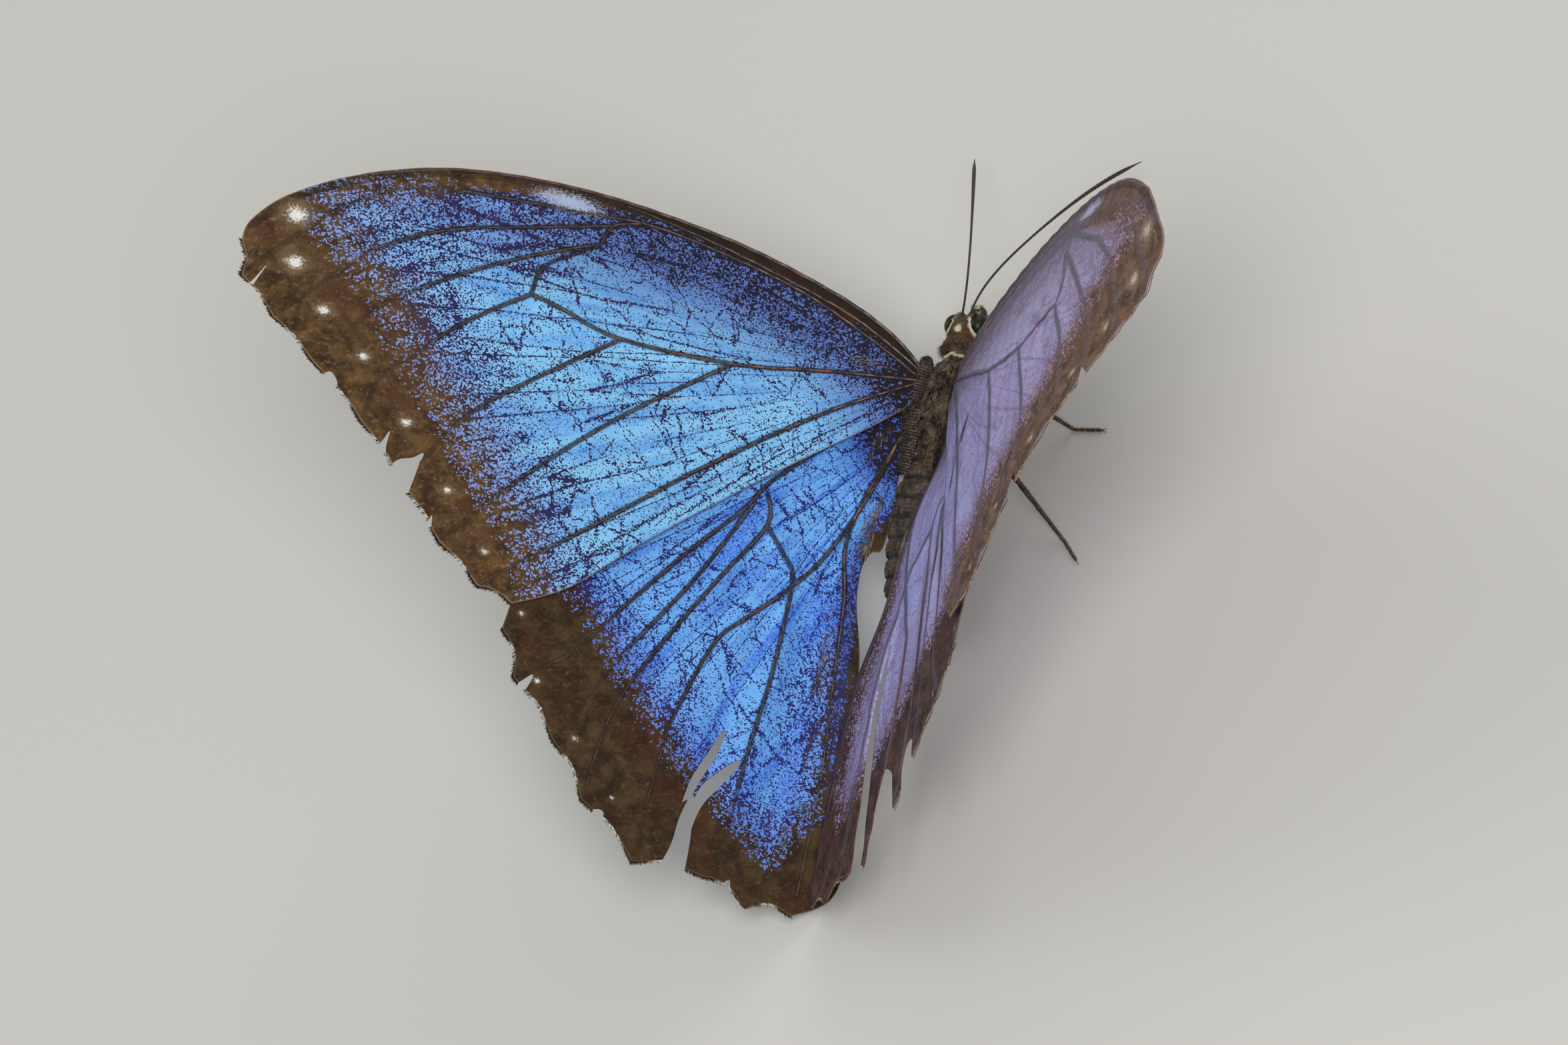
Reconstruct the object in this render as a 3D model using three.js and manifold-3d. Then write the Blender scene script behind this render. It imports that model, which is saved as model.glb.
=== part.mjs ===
// A blue morpho butterfly at life size, standing with its wings half raised.
// Millimetres, +Z up. The head faces -Y and the butterfly's left side is +X.
// The origin is on the floor, under the middle of the whole butterfly's box.
//
// The body is laid out in body axes (side, forward, dorsal) from the middle of the
// wing roots, with side positive to the left. Each wing is laid out flat in wing
// axes (out, ahead, lift) from its own root, and is then bent and raised.
import * as THREE from 'three';
import { mergeVertices } from 'three/addons/utils/BufferGeometryUtils.js';
import Module from 'manifold-3d';

const wasm = await Module();
wasm.setup();

// Stance
const PITCH = THREE.MathUtils.degToRad(8.5);     // the body's head-up tilt
const ROOT_HEIGHT = 9.2;                          // wing roots above the floor
const GAP = 0.3;                                  // gap kept between pieces that touch

// Wings
const ROOT_SIDE = 2.0;                            // wing root from the middle of the body
const ROOT_DORSAL = 1.5;
const RAISE = THREE.MathUtils.degToRad(45.3);     // the wings' rise above the body's sides
const PRONATION = THREE.MathUtils.degToRad(4.5);  // leading edge down, trailing edge up
const WING_THICKNESS = 0.5;
const COSTA_THICKNESS = 0.35;                     // extra, along the stiff leading edge
const TIP_DROOP = 3.0;                            // at 60 mm out
const CHORD_DROOP = 3.0;                          // at 45 mm behind the root
const TWIST = 1.2;                                // lift at 60 mm out and 45 mm behind
const HIND_LAP = 1.0;                             // the hindwing lies this far under the forewing
const WING_CELL = 4;                              // size of the facets of a wing's faces

// Forewing outline, in wing axes. The leading edge is one long arch, and the outer
// margin steps from vein end to vein end with a shallow hollow between them.
const FORE_COSTA = [[0.3, 1.0], [4, 3.7], [10, 6.0], [20.5, 8.2], [34, 9.0],
  [46, 7.7], [55, 4.6], [61.6, 0.5], [64.6, -2.8]];
const FORE_VEIN_ENDS = [[65, -4.9], [64.2, -8.4], [60.6, -11.8], [56.1, -15.5],
  [50.5, -20.2], [45.5, -25.2], [40.7, -29.6], [36.2, -32.6], [32.6, -33.3]];
const FORE_INNER = [[27.5, -30], [21, -22.9], [11.3, -13.3], [3.4, -6.0], [0.4, -2.8]];
const FORE_HOLLOW = 0.4;
const COSTA_SAG = 0.8;                            // of the forewing's leading edge, half way out
const MARGIN_WAVE = 0.9;                          // down behind the apex, up before the inner corner

// Hindwing outline. Its leading edge runs under the forewing.
const HIND_COSTA = [[0.4, -2.4], [6, -3.4], [14, -7.5], [22, -14], [28.5, -23], [32, -30.5]];
const HIND_VEIN_ENDS = [[32.8, -35.4], [30.6, -39.7], [25.6, -44.4], [21.6, -49.0],
  [15.5, -53.2], [9.0, -52.5], [4.2, -54.0], [-0.4, -53.6]];
const HIND_INNER = [[-2.8, -52], [-4.1, -50], [-3.6, -46], [-2.4, -40], [-1.6, -34], [-0.6, -28],
  [0.9, -23], [1.2, -19.5], [0.6, -17.8], [-0.3, -17.0], [-0.3, -12], [0.0, -6]];
const HIND_HOLLOW = 0.7;
const CROSSING = { lift: 2.4, reach: 14,          // the right hindwing's inner edge is raised:
  first: [-6, -18, 0.65], last: [-23, -34, 0.35] };  // by the abdomen, then over the left one

// Body: half width, half height and height of the middle, at each station along it
const THORAX = [[4.5, 1.1, 1.0, -1.1], [4.1, 1.4, 1.3, -1.1], [3.1, 1.6, 1.6, -1.1], [2.2, 2.2, 2.4, -1.1],
  [0.6, 2.8, 3.2, -1.25], [-1.8, 3.0, 3.6, -1.3], [-4.6, 2.8, 3.4, -1.3], [-6.6, 2.3, 2.7, -1.15],
  [-7.4, 1.9, 2.2, -1.1]];
const ABDOMEN = { front: -7.65, back: -23.6, segments: 8, radius: 2.35, tip: 1.0, groove: 0.16,
  dorsalFront: -1.0, dorsalBack: -1.7, bow: 1.05 };  // it bows to the left behind the thorax
const HEAD = { forward: 5.8, dorsal: -1.25, width: 1.95, height: 1.85, length: 1.85 };
const EYE = { side: 1.4, forward: 6.35, dorsal: -1.15, radius: 1.2, squash: 0.85, stretch: 1.2 };
const SOCKET = 0.12;                              // clearance round an eye and a feeler's foot
const ANTENNA = { side: 0.45, forward: 7.1, dorsal: -0.2, reach: 19.7, splay: 8.9, dip: 8.55,
  shaft: 0.27, club: 0.36, bow: { left: 0, right: 0.75 } };
const PALP = { side: 0.5, lean: -0.35, forward: 8.5, dorsal: -1.0, radius: 0.4 };  // of their tips
const TRUNK_SIDES = 18;                           // facets round the thorax
const ABDOMEN_SIDES = 16;
const HEAD_DETAIL = 12;                           // facets from pole to pole
const EYE_DETAIL = 9;

// Legs, as joints in body axes: hip, knee, and then ankle and toe on the floor. The
// forelegs are short brushes folded under the head, as in the whole family.
const LEGS = {
  fore: { joints: [[1.3, 1.6, -3.9], [1.7, 3.9, -4.7], [1.2, 5.6, -4.3]], radius: [0.42, 0.36, 0.28] },
  mid: { joints: [[1.6, -1.0, -4.6], [5.8, 0.7, -4.8]], radius: [0.5, 0.38, 0.3, 0.3],
    ankle: [8.9, -0.5], toe: [12.1, -0.5] },
  hind: { joints: [[1.5, -4.4, -4.3], [6.8, -7.2, -3.9]], radius: [0.5, 0.38, 0.3, 0.3],
    ankle: [12.2, -12.6], toe: [14.1, -14.5] },
};

// Worn places, in wing axes: narrow tears from the margin inwards, and chips out of it
const WEAR = {
  wing_fore_left: [
    { mouth: [63.6, -9.2], end: [62.3, -6.8], width: 1.1 },
    { mouth: [48.3, -22.6], end: [47.7, -20.4], width: 1.7 },
    { mouth: [46.1, -24.6], end: [44.2, -21.8], width: 2.8 },
    { mouth: [42.0, -28.6], end: [41.9, -27.3], width: 0.8 },
  ],
  wing_hind_left: [
    { mouth: [11.2, -55], end: [11.5, -45.4], width: 4.0 },
    { mouth: [11.9, -46.4], end: [10.0, -38.7], width: 0.9 },
    { mouth: [11.0, -49.2], end: [8.0, -41.1], width: 1.4 },
    { mouth: [31.2, -41.2], end: [29.0, -39.0], width: 1.4 },
  ],
  wing_fore_right: [
    { mouth: [57.2, -15.6], end: [54.6, -13.8], width: 1.6 },
    { mouth: [46.9, -24.8], end: [45.0, -22.2], width: 2.2 },
    { mouth: [38.6, -32.4], end: [37.9, -30.6], width: 1.0 },
  ],
  wing_hind_right: [
    { mouth: [12.2, -55], end: [8.0, -30.5], width: 3.2 },
    { mouth: [19.4, -53], end: [15.6, -43.6], width: 11 },
    { mouth: [26.0, -49.0], end: [22.0, -42.0], width: 6.0 },
    { mouth: [-5.0, -56], end: [-3.4, -36], width: 8 },
    { mouth: [32.6, -38.4], end: [30.6, -37.0], width: 1.2 },
  ],
};

const SIDES = { left: 1, right: -1 };

// ---- From one set of axes to another -------------------------------------------

const STANCE = new THREE.Matrix4().makeBasis(
  new THREE.Vector3(1, 0, 0),
  new THREE.Vector3(0, -Math.cos(PITCH), Math.sin(PITCH)),
  new THREE.Vector3(0, Math.sin(PITCH), Math.cos(PITCH)),
).setPosition(0, 0, ROOT_HEIGHT);

/** A point of the body, given to the side, forward and dorsal, as it stands. */
function stand(side, forward, dorsal) {
  return new THREE.Vector3(side, forward, dorsal).applyMatrix4(STANCE);
}

/** The matrix that takes wing axes to where that side's wing is held. */
function wingPlace(side) {
  const out = new THREE.Vector3(side * Math.cos(RAISE), 0, Math.sin(RAISE));
  const level = new THREE.Vector3(-side * Math.sin(RAISE), 0, Math.cos(RAISE));
  const forward = new THREE.Vector3(0, 1, 0);
  const ahead = forward.clone().multiplyScalar(Math.cos(PRONATION))
    .addScaledVector(level, -Math.sin(PRONATION));
  const lift = level.clone().multiplyScalar(Math.cos(PRONATION))
    .addScaledVector(forward, Math.sin(PRONATION));
  const place = new THREE.Matrix4().makeBasis(out, ahead, lift);
  place.setPosition(side * ROOT_SIDE, 0, ROOT_DORSAL);
  return place.premultiply(STANCE);
}

/** How far the wing's surface lies from its flat plane. */
function bend(out, ahead) {
  const span = out / 60;
  const chord = -ahead / 45;
  return TWIST * span * chord - CHORD_DROOP * chord ** 2 - TIP_DROOP * span ** 3;
}

/** The forewing's leading edge sags half way out, and its outer margin is wavy. */
function sag(out, ahead) {
  const along = THREE.MathUtils.clamp(-ahead / 33, 0, 1);
  const leading = THREE.MathUtils.clamp((ahead + 5) / 10, 0, 1);
  return -COSTA_SAG * leading * Math.sin((Math.PI * out) / 66)
    - MARGIN_WAVE * Math.sin(2 * Math.PI * along) * (out / 60) ** 2;
}

/** The hindwing lies under the forewing; the right one's inner edge is raised. */
function underlap(out, ahead, side) {
  const { lift, reach, first, last } = CROSSING;
  const rise = ([from, full, share]) => share * THREE.MathUtils.smoothstep(-ahead, -from, -full);
  const raised = side < 0 ? rise(first) + rise(last) : 0;
  return raised * lift * Math.exp(-(((out + 2) / reach) ** 2)) - HIND_LAP;
}

// ---- Solids ----------------------------------------------------------------------

/** A closed geometry with each corner stored once and its faces turned outwards. */
function welded(geometry) {
  geometry.deleteAttribute('normal');
  geometry.deleteAttribute('uv');
  const whole = mergeVertices(geometry, 1e-4);
  const corners = whole.index.array;
  const [a, b, c] = [new THREE.Vector3(), new THREE.Vector3(), new THREE.Vector3()];
  let volume = 0;
  for (let i = 0; i < corners.length; i += 3) {
    a.fromBufferAttribute(whole.attributes.position, corners[i]);
    b.fromBufferAttribute(whole.attributes.position, corners[i + 1]);
    c.fromBufferAttribute(whole.attributes.position, corners[i + 2]);
    volume += a.dot(b.cross(c)) / 6;
  }
  if (volume < 0) {
    corners.reverse();
  }
  return whole;
}

function toSolid(geometry) {
  const whole = welded(geometry);
  return new wasm.Manifold(new wasm.Mesh({
    numProp: 3,
    vertProperties: new Float32Array(whole.attributes.position.array),
    triVerts: new Uint32Array(whole.index.array),
  }));
}

function toGeometry(solid) {
  const { vertProperties, triVerts } = solid.getMesh();
  const geometry = new THREE.BufferGeometry();
  geometry.setAttribute('position', new THREE.BufferAttribute(vertProperties, 3));
  geometry.setIndex(new THREE.BufferAttribute(triVerts, 1));
  geometry.computeVertexNormals();
  return geometry;
}

/** A closed skin over rings; each ring is a middle and two half axes. */
function overRings(rings, sides) {
  const geometry = welded(new THREE.CylinderGeometry(1, 1, 1, sides, rings.length - 1));
  const { position } = geometry.attributes;
  const point = new THREE.Vector3();
  for (let i = 0; i < position.count; i += 1) {
    point.fromBufferAttribute(position, i);
    const ring = rings[Math.round((0.5 - point.y) * (rings.length - 1))];
    const place = ring.middle.clone()
      .addScaledVector(ring.across, point.x)
      .addScaledVector(ring.up, point.z);
    position.setXYZ(i, place.x, place.y, place.z);
  }
  return welded(geometry);
}

/** A tapering limb along a curve; radius is a function of the way along it. */
function limb(curve, radius, sides, steps) {
  const frames = curve.computeFrenetFrames(steps, false);
  const rings = frames.normals.map((normal, i) => ({
    middle: curve.getPointAt(i / steps),
    across: normal.clone().multiplyScalar(radius(i / steps)),
    up: frames.binormals[i].clone().multiplyScalar(-radius(i / steps)),
  }));
  return overRings(rings, sides);
}

/** Part of the body: stations of half width, half height and dorsal middle. */
function trunk(stations, sides) {
  return overRings(stations.map(([forward, width, height, dorsal, side = 0]) => ({
    middle: stand(side, forward, dorsal),
    across: stand(width, 0, 0).sub(stand(0, 0, 0)),
    up: stand(0, 0, height).sub(stand(0, 0, 0)),
  })), sides);
}

function ellipsoid(side, forward, dorsal, radii, detail) {
  const geometry = new THREE.SphereGeometry(1, detail * 2, detail);
  geometry.scale(...radii);
  geometry.translate(side, forward, dorsal);
  geometry.applyMatrix4(STANCE);
  return welded(geometry);
}

// ---- Wings -----------------------------------------------------------------------

/** The points of a smooth line through a few, without its last one. */
function smooth(points, count) {
  const line = new THREE.SplineCurve(points.map(([x, y]) => new THREE.Vector2(x, y)));
  return line.getSpacedPoints(count).slice(0, -1);
}

/** A margin from vein end to vein end, hollowed a little between them. */
function scalloped(ends, hollow) {
  const points = [];
  for (let i = 0; i < ends.length - 1; i += 1) {
    const from = new THREE.Vector2(...ends[i]);
    const along = new THREE.Vector2(...ends[i + 1]).sub(from);
    const inward = new THREE.Vector2(along.y, -along.x).normalize();
    for (const t of [0, 0.25, 0.5, 0.75]) {
      points.push(from.clone().addScaledVector(along, t)
        .addScaledVector(inward, hollow * Math.sin(Math.PI * t)));
    }
  }
  return points;
}

function wingOutline(costa, ends, inner, hollow) {
  return [
    ...smooth([...costa, ends[0]], 20),
    ...scalloped(ends, hollow),
    ...smooth([ends[ends.length - 1], ...inner], 14),
    new THREE.Vector2(...inner[inner.length - 1]),
  ];
}

/** A prism through the whole depth of a wing. */
function through(points) {
  const depth = 24;
  const geometry = new THREE.ExtrudeGeometry(new THREE.Shape(points), { depth, bevelEnabled: false });
  geometry.translate(0, 0, -depth * 0.7);
  return toSolid(geometry);
}

/** A tear or chip: a wedge, wide at its mouth and narrow at its end. */
function wedge({ mouth, end, width }) {
  const from = new THREE.Vector2(...mouth);
  const to = new THREE.Vector2(...end);
  const across = to.clone().sub(from).normalize().rotateAround(new THREE.Vector2(), Math.PI / 2);
  return through([
    from.clone().addScaledVector(across, -width / 2),
    to.clone().addScaledVector(across, -width / 8),
    to.clone().addScaledVector(across, width / 8),
    from.clone().addScaledVector(across, width / 2),
  ]);
}

/** The bent sheet from which a wing is cut, thicker along a forewing's leading edge. */
function wingSheet(outline, offset, stiffened) {
  const box = new THREE.Box2().setFromPoints(outline).expandByScalar(1);
  const size = box.getSize(new THREE.Vector2());
  const middle = box.getCenter(new THREE.Vector2());
  const geometry = new THREE.BoxGeometry(size.x, size.y, WING_THICKNESS,
    Math.round(size.x / WING_CELL), Math.round(size.y / WING_CELL), 1);
  geometry.translate(middle.x, middle.y, 0);
  const { position } = geometry.attributes;
  for (let i = 0; i < position.count; i += 1) {
    const out = position.getX(i);
    const ahead = position.getY(i);
    const edge = stiffened ? Math.exp(-(((costaAt(out) - ahead) / 4) ** 2)) : 0;
    const half = position.getZ(i) * (1 + (COSTA_THICKNESS / WING_THICKNESS) * edge);
    position.setZ(i, bend(out, ahead) + offset(out, ahead) + half);
  }
  return toSolid(geometry);
}

/** How far ahead the forewing's leading edge lies, that far out. */
function costaAt(out) {
  const next = FORE_COSTA.findIndex(([x]) => x > out);
  if (next < 1) {
    return FORE_COSTA[next < 0 ? FORE_COSTA.length - 1 : 0][1];
  }
  const [x0, y0] = FORE_COSTA[next - 1];
  const [x1, y1] = FORE_COSTA[next];
  return y0 + ((y1 - y0) * (out - x0)) / (x1 - x0);
}

function wing(name, side, outline, offset, stiffened, body) {
  let flat = wingSheet(outline, offset, stiffened).intersect(through(outline));
  for (const worn of WEAR[name]) {
    flat = flat.subtract(wedge(worn));
  }
  const placed = toGeometry(flat).applyMatrix4(wingPlace(side));
  return toSolid(placed).subtract(body).subtract(belowFloor());
}

/** What the floor takes away, so that the hindwings rest on small flats. */
function belowFloor() {
  const deep = 10;
  const geometry = new THREE.BoxGeometry(400, 400, deep);
  geometry.translate(0, 0, -deep / 2);
  return toSolid(geometry);
}

// ---- Body ------------------------------------------------------------------------

/** The abdomen's rings: a full girth, drawn in a little between segments. */
function abdomenStations(swell) {
  const { front, back, segments, radius, tip, groove, dorsalFront, dorsalBack, bow } = ABDOMEN;
  const stations = [];
  for (let i = 0; i <= segments; i += 1) {
    for (const [part, depth] of i < segments ? [[0, groove], [0.45, 0]] : [[0, 0]]) {
      const t = (i + part) / segments;
      const girth = radius * Math.min(1, 0.9 + t) * (1 - 0.9 * Math.max(0, t - 0.5) ** 2);
      const narrowed = i === segments ? tip : girth * (1 - 0.28 * Math.max(0, t - 0.8) / 0.2) - depth;
      stations.push([front + (back - front) * t, narrowed + swell, narrowed + swell,
        dorsalFront + (dorsalBack - dorsalFront) * t, bow * Math.sin(Math.PI * t ** 0.6) ** 2]);
    }
  }
  return stations;
}

function eyeball(side, swell) {
  const { radius, squash, stretch } = EYE;
  const radii = [radius * squash + swell, radius + swell, radius * stretch + swell];
  return ellipsoid(side * EYE.side, EYE.forward, EYE.dorsal, radii, EYE_DETAIL);
}

function headShape(swell) {
  const radii = [HEAD.width + swell, HEAD.length + swell, HEAD.height + swell];
  return ellipsoid(0, HEAD.forward, HEAD.dorsal, radii, HEAD_DETAIL);
}

/** A feeler runs forward from the head, then spreads and dips; its club is slight. */
function antenna(side, bow) {
  const place = (t) => stand(
    side * (ANTENNA.side + ANTENNA.splay * t ** 1.6),
    ANTENNA.forward + ANTENNA.reach * t,
    ANTENNA.dorsal - ANTENNA.dip * t ** 1.9 - bow * Math.sin(Math.PI * t) ** 2,
  );
  const curve = new THREE.CatmullRomCurve3([0, 0.2, 0.4, 0.6, 0.8, 1].map(place));
  const { smoothstep } = THREE.MathUtils;
  const swelling = (t) => smoothstep(t, 0.5, 0.9) - 0.7 * smoothstep(t, 0.92, 1);
  return limb(curve, (t) => ANTENNA.shaft + (ANTENNA.club - ANTENNA.shaft) * swelling(t), 8, 15);
}

function palp(side) {
  const { lean, forward, dorsal, radius } = PALP;
  const curve = new THREE.CatmullRomCurve3([
    stand(side * PALP.side, HEAD.forward + 0.7, HEAD.dorsal - HEAD.height - 0.5),
    stand(side * PALP.side * 1.1 + lean * 0.4, forward - 0.4, dorsal - 1.7),
    stand(side * PALP.side + lean, forward, dorsal),
  ]);
  return limb(curve, (t) => radius * (1 - 0.35 * t * t), 8, 5);
}

/** A leg as one bent limb; the tarsus lies along the floor on a flat sole. */
function leg(side, { joints, radius, ankle, toe }) {
  const places = joints.map(([s, f, d]) => stand(side * s, f, d));
  const sole = radius[radius.length - 1] * 0.8;
  for (const [s, f] of [ankle, toe].filter(Boolean)) {
    const onFloor = stand(side * s, f, (-ROOT_HEIGHT - f * Math.sin(PITCH)) / Math.cos(PITCH));
    places.push(onFloor.setZ(sole));
  }
  const parts = places.slice(1).map((to, i) => {
    const straight = new THREE.LineCurve3(places[i], to);
    return toSolid(limb(straight, (t) => radius[i] + (radius[i + 1] - radius[i]) * t, 8, 1));
  });
  const knuckles = places.slice(1, -1).map((place, i) => {
    const ball = new THREE.SphereGeometry(radius[i + 1] * 1.05, 8, 5);
    return toSolid(ball.translate(place.x, place.y, place.z));
  });
  return [...parts, ...knuckles].reduce((whole, part) => whole.add(part)).subtract(belowFloor());
}

// ---- Assembly --------------------------------------------------------------------

const finishes = {
  wing: { color: 0x4a9bee, roughness: 0.45, metalness: 0.2 },
  body: { color: 0x3a2f25, roughness: 0.9, metalness: 0 },
  eye: { color: 0x14201d, roughness: 0.2, metalness: 0 },
  limb: { color: 0x2a1d16, roughness: 0.6, metalness: 0 },
};

const butterfly = new THREE.Group();

function addPart(name, geometry, finish) {
  const mesh = new THREE.Mesh(geometry, new THREE.MeshStandardMaterial(finishes[finish]));
  mesh.name = name;
  butterfly.add(mesh);
}

/** The room that the thorax takes, with a gap round it, as seen from its side or from its front. */
const roomFor = (ahead) => trunk(
  THORAX.map(([f, w, h, d]) => [f + ahead, w + GAP, h + GAP, d]),
  TRUNK_SIDES,
);
const trunkSpace = toSolid(roomFor(0))
  .add(toSolid(trunk(abdomenStations(GAP), ABDOMEN_SIDES)));

addPart('thorax', trunk(THORAX, TRUNK_SIDES), 'body');
addPart('abdomen', trunk(abdomenStations(0), ABDOMEN_SIDES), 'body');

let skull = toSolid(headShape(0)).subtract(toSolid(roomFor(GAP)));
for (const [label, side] of Object.entries(SIDES)) {
  skull = skull.subtract(toSolid(eyeball(side, SOCKET)));
  addPart(`eye_${label}`, eyeball(side, 0), 'eye');
  const feeler = toSolid(antenna(side, ANTENNA.bow[label])).subtract(toSolid(headShape(SOCKET)));
  addPart(`antenna_${label}`, toGeometry(feeler), 'limb');
  addPart(`palp_${label}`, palp(side), 'body');
  for (const [pair, shape] of Object.entries(LEGS)) {
    addPart(`leg_${pair}_${label}`, toGeometry(leg(side, shape).subtract(trunkSpace)), 'limb');
  }
  const fore = wingOutline(FORE_COSTA, FORE_VEIN_ENDS, FORE_INNER, FORE_HOLLOW);
  const hind = wingOutline(HIND_COSTA, HIND_VEIN_ENDS, HIND_INNER, HIND_HOLLOW);
  addPart(`wing_fore_${label}`,
    toGeometry(wing(`wing_fore_${label}`, side, fore, sag, true, trunkSpace)), 'wing');
  addPart(`wing_hind_${label}`,
    toGeometry(wing(`wing_hind_${label}`, side, hind, (u, v) => underlap(u, v, side), false,
      trunkSpace)), 'wing');
}
addPart('head', toGeometry(skull), 'body');

const box = new THREE.Box3().setFromObject(butterfly);
const middle = box.getCenter(new THREE.Vector3());
butterfly.position.set(-middle.x, -middle.y, -box.min.z);

export default butterfly;
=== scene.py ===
import math

import bpy
import numpy as np
from mathutils import Matrix, Vector
from mathutils.geometry import delaunay_2d_cdt


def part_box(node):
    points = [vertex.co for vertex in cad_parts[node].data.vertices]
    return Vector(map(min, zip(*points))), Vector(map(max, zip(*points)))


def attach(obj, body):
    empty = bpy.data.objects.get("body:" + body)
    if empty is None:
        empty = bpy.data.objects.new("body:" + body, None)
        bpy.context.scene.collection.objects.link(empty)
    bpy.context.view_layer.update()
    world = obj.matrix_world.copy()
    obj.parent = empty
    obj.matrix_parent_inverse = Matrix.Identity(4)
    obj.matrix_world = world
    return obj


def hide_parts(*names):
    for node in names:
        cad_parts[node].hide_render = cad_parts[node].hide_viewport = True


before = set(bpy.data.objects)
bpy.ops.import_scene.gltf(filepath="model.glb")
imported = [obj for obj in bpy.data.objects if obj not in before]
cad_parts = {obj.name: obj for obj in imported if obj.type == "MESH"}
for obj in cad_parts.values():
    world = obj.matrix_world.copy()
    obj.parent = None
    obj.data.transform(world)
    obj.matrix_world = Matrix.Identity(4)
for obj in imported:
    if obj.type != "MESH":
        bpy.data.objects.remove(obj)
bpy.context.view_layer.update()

# ---- Stance and camera -------------------------------------------------------------
# The butterfly stands with its body tilted a little head up. Body axes run to its
# left, forward and to its back (dorsal) from the middle of the wing roots. The
# camera looks down from behind its right shoulder, rolled until the body leans.

MM = 0.001
PITCH = math.radians(8.5)
SIDES = {"left": 1, "right": -1}
STANCE = np.array([
    [1, 0, 0],
    [0, -math.cos(PITCH), math.sin(PITCH)],
    [0, math.sin(PITCH), math.cos(PITCH)],
])
EYE = np.array([1.4, 6.35, -1.15])            # the middle of the left eye, in body axes
eye_low, eye_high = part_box("eye_left")
ORIGIN = np.array((eye_low + eye_high) / 2) / MM - STANCE @ EYE


def stand(points):
    """Points in body axes, in millimetres, as they stand in the frame, in metres."""
    return (np.asarray(points, float) @ STANCE.T + ORIGIN) * MM


VIEW_RIGHT = np.array([-0.834, 0.230, -0.501])
VIEW_UP = np.array([0.024, 0.923, 0.385])
VIEW_LEFT = 15.35                             # the view's middle lies this far to the left
VIEW_BELOW = 12.88                            # of the wing roots, and below them
VIEW_MIDDLE = -VIEW_LEFT * VIEW_RIGHT - VIEW_BELOW * VIEW_UP
VIEW_DISTANCE = 1639.3
VIEW_LENS = 401.4
SENSOR = 36

towards = -np.cross(VIEW_RIGHT, VIEW_UP)      # body axes are a left-handed set
towards /= np.linalg.norm(towards)
camera_data = bpy.data.cameras.new("camera")
camera_data.lens = VIEW_LENS
camera_data.sensor_width = SENSOR
camera_data.clip_end = 10
camera = bpy.data.objects.new("camera", camera_data)
bpy.context.scene.collection.objects.link(camera)
axis_back = Vector(STANCE @ towards).normalized()
axis_right = Vector(STANCE @ VIEW_RIGHT)
axis_right = (axis_right - axis_back * axis_right.dot(axis_back)).normalized()
axis_up = axis_back.cross(axis_right)
turn = Matrix((axis_right, axis_up, axis_back)).transposed().to_4x4()
place = Vector(stand(VIEW_MIDDLE + VIEW_DISTANCE * towards))
camera.matrix_world = Matrix.Translation(place) @ turn
bpy.context.scene.camera = camera

# ---- Wing blades --------------------------------------------------------------------
# Each wing is a dry, stiff membrane about a tenth of a millimetre thick, clothed in
# overlapping scales. It is shaped flat in wing axes (out, ahead, lift), in millimetres,
# cut along its scalloped and torn margin, pleated between its veins, bent and raised.

# Where a wing is rooted, and how it is held.
ROOT_SIDE = 2.0
ROOT_DORSAL = 1.5
RAISE = math.radians(45.3)
PRONATION = math.radians(4.5)

# How far a wing bends out of its plane, over its span and its chord. The right hindwing
# also lifts where its inner edge crosses over the left one's.
SPAN = 60
CHORD = 45
TIP_DROOP = 3.0
CHORD_DROOP = 3.0
TWIST = 1.2
FORE_SPAN = 66
FORE_CHORD = 33
COSTA_SAG = 0.8
MARGIN_WAVE = 0.9
HIND_LAP = 1.0
CROSSING_LIFT = 2.4
CROSSING_REACH = 14

MEMBRANE = 0.14
CELL = 0.32                                   # spacing of the blade's mesh
RIM_STEP = 0.18                               # spacing of the points along its margin
RIM_CLEAR = 0.12                              # from the margin to the mesh inside it
NIBBLE = 0.07                                 # depth of the small wear along the margin
FORE_HOLLOW = 0.4
HIND_HOLLOW = 0.7

FORE_COSTA = [(0.3, 1.0), (4, 3.7), (10, 6.0), (20.5, 8.2), (34, 9.0), (46, 7.7), (55, 4.6),
              (61.6, 0.5), (64.6, -2.8)]
FORE_ENDS = [(65, -4.9), (64.2, -8.4), (60.6, -11.8), (56.1, -15.5), (50.5, -20.2),
             (45.5, -25.2), (40.7, -29.6), (36.2, -32.6), (32.6, -33.3)]
FORE_INNER = [(27.5, -30), (21, -22.9), (11.3, -13.3), (3.4, -6.0), (0.4, -2.8)]
HIND_COSTA = [(0.4, -2.4), (6, -3.4), (14, -7.5), (22, -14), (28.5, -23), (32, -30.5)]
HIND_ENDS = [(32.8, -35.4), (30.6, -39.7), (25.6, -44.4), (21.6, -49.0), (15.5, -53.2),
             (9.0, -52.5), (4.2, -54.0), (-0.4, -53.6)]
HIND_INNER = [(-2.8, -52), (-4.1, -50), (-3.6, -46), (-2.4, -40), (-1.6, -34), (-0.6, -28),
              (0.9, -23), (1.2, -19.5), (0.6, -17.8), (-0.3, -17.0), (-0.3, -12), (0.0, -6)]

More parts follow.
